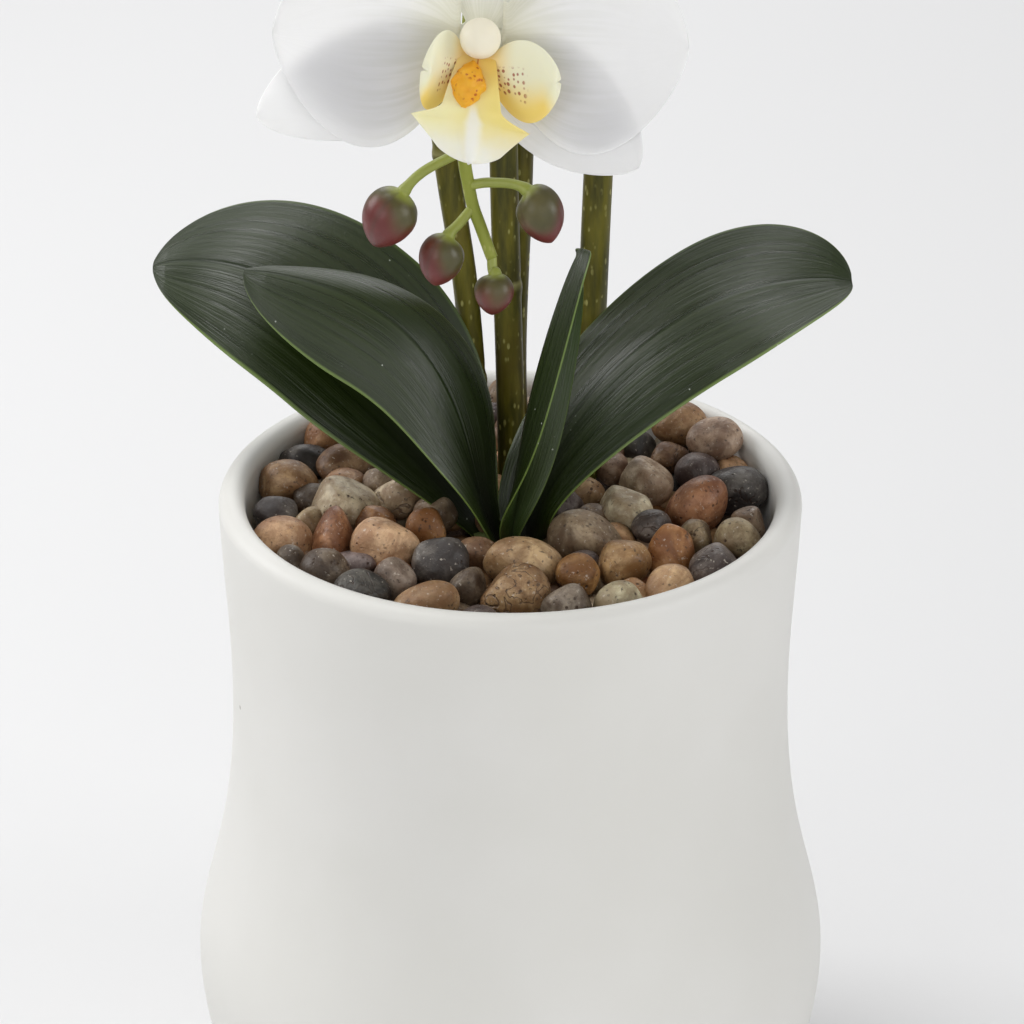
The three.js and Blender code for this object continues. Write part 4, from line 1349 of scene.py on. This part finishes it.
# %% Paint the lip, callus and column
def lip_base(name):
    """The parts that the lip's paints share: the material, UV across and along, and cloud."""
    paint = Paint(name, Specular_IOR_Level=0.35, Subsurface_Weight=0.2,
                  Subsurface_Radius=(0.004, 0.003, 0.0015), Subsurface_Scale=1.0)
    across, along = paint.across_and_along()
    return paint, across, along, paint.noise(paint.coordinates(), 130.0, 3.0)


def middle_skin():
    """Pale yellow, deeper to one side, white along the fold and at the blunt end."""
    paint, across, along, cloud = lip_base("lip_middle")
    tone = paint.mix(paint.mask(across + 0.3 * cloud, 0.2, 1.1),
                     colour(238, 230, 176), colour(244, 222, 134))
    tone = paint.mix(paint.mask(along + 0.3 * cloud, 0.75, 1.15), tone, colour(244, 242, 226))
    off = paint.number("ABSOLUTE", across - 0.525)
    fold = (1 - paint.mask(off, 0.02, 0.11)) * paint.mask(along, 0.45, 0.6)
    tone = paint.mix(fold * 0.8, tone, colour(248, 247, 238))
    orange = 1 - paint.mask(along, 0.1, 0.42)
    tone = paint.mix(orange * 0.6, tone, colour(240, 190, 84))
    streak = (1 - paint.mask(off, 0.0, 0.035)) * (1 - paint.mask(along, 0.3, 0.42))
    tone = paint.mix(streak * 0.85, tone, colour(190, 84, 30))
    paint.set(Base_Color=tone, Roughness=0.45)
    paint.set(Normal=paint.bump(cloud, 0.0004, 0.3))
    return paint.material


def lobe_skin():
    """Whitish yellow, deeper at the lower margin, with rows of red-brown dots near the base."""
    paint, across, along, cloud = lip_base("lip_lobe")
    uv = paint.coordinates("UV")
    low = (1 - paint.mask(across + 0.2 * cloud, 0.2, 0.7)) * (1 - paint.mask(along, 0.8, 0.98))
    tone = paint.mix(low, colour(238, 236, 204), colour(246, 212, 116))
    tone = paint.mix((1 - paint.mask(along, 0.05, 0.5)) * 0.75, tone, colour(246, 200, 96))
    dots = paint.node("ShaderNodeTexVoronoi", None,
                      {"Vector": paint.scaled(uv, 12.0, 14.0, 1.0), "Scale": 1.0, "Randomness": 0.4})
    near_base = (1 - paint.mask(along, 0.56, 0.66)) * paint.mask(along, 0.06, 0.12)
    dot = (1 - paint.mask(dots, 0.26, 0.4)) * near_base
    dot = dot * (1 - paint.mask(paint.number("ABSOLUTE", across - 0.46), 0.17, 0.24))
    tone = paint.mix(dot * 0.85, tone, colour(150, 62, 34))
    paint.set(Base_Color=tone, Roughness=0.45)
    paint.set(Normal=paint.bump(cloud, 0.0004, 0.3))
    return paint.material


def callus_skin():
    paint = Paint("callus_orange", Specular_IOR_Level=0.4)
    place = paint.coordinates()
    dot = paint.spots(place, 900.0, (0.2, 0.4), 330.0, (0.42, 0.56))
    tone = paint.mix(paint.noise(place, 400.0, 3.0), colour(232, 150, 16), colour(240, 188, 52))
    paint.set(Base_Color=paint.mix(dot * 0.85, tone, colour(176, 76, 18)), Roughness=0.45)
    paint.set(Normal=paint.bump(paint.noise(place, 700.0, 3.0), 0.0006, 0.5))
    return paint.material


def column_skin():
    paint = Paint("column_cream", Specular_IOR_Level=0.35, Subsurface_Weight=0.15,
                  Subsurface_Radius=(0.003, 0.003, 0.002), Subsurface_Scale=1.0)
    place = paint.coordinates()
    tone = paint.mix(paint.noise(place, 160.0, 3.0), colour(236, 228, 204), colour(246, 240, 222))
    paint.set(Base_Color=tone, Roughness=0.5)
    return paint.material


lip_paint, lobe_paint = middle_skin(), lobe_skin()
callus_paint, column_paint = callus_skin(), column_skin()


# %% Pedicels
def add_pedicel(k, flower):
    """A thin stalk from the spike to the flower's back, thickening towards the flower."""
    _, places = spike_line(SPIKES[flower["spike"]])
    back = SEPAL_LAYER - TEPAL["thickness"] / 2
    end = placed(flower, np.array([0, 0, back])) / MM
    behind = placed(flower, np.array([0, 1, back - 9])) / MM
    start = places[flower["from"]]
    middle = start + (behind - start) * 0.55 + [0, 0, 1.5]
    line, _ = even_steps(smooth_through([start, middle, behind, end], 241), 70)
    t = np.linspace(0, 1, 70)
    radius = PEDICEL_RADIUS * (1 + 0.5 * t * t) + 0.3 * np.exp(-(t / 0.04) ** 2)
    rings = tube_rings(line, radius, 20) * MM
    values = {"node_ring": np.zeros(rings.shape[:2]), "young": np.ones(rings.shape[:2])}
    mesh = ring_mesh(f"flower_{k}_stalk", rings, tube_uv(70, 20), values)
    add_piece(mesh, stem_paint, "pedicel_green", f"flower_{k}_pedicel")


for k, flower in enumerate(FLOWERS, start=1):
    add_pedicel(k, flower)
    add_sepals(k, flower)
    add_petals(k, flower)
    add_lip(k, flower)
    add_column(k, flower)
print("flowers:", len(FLOWERS))
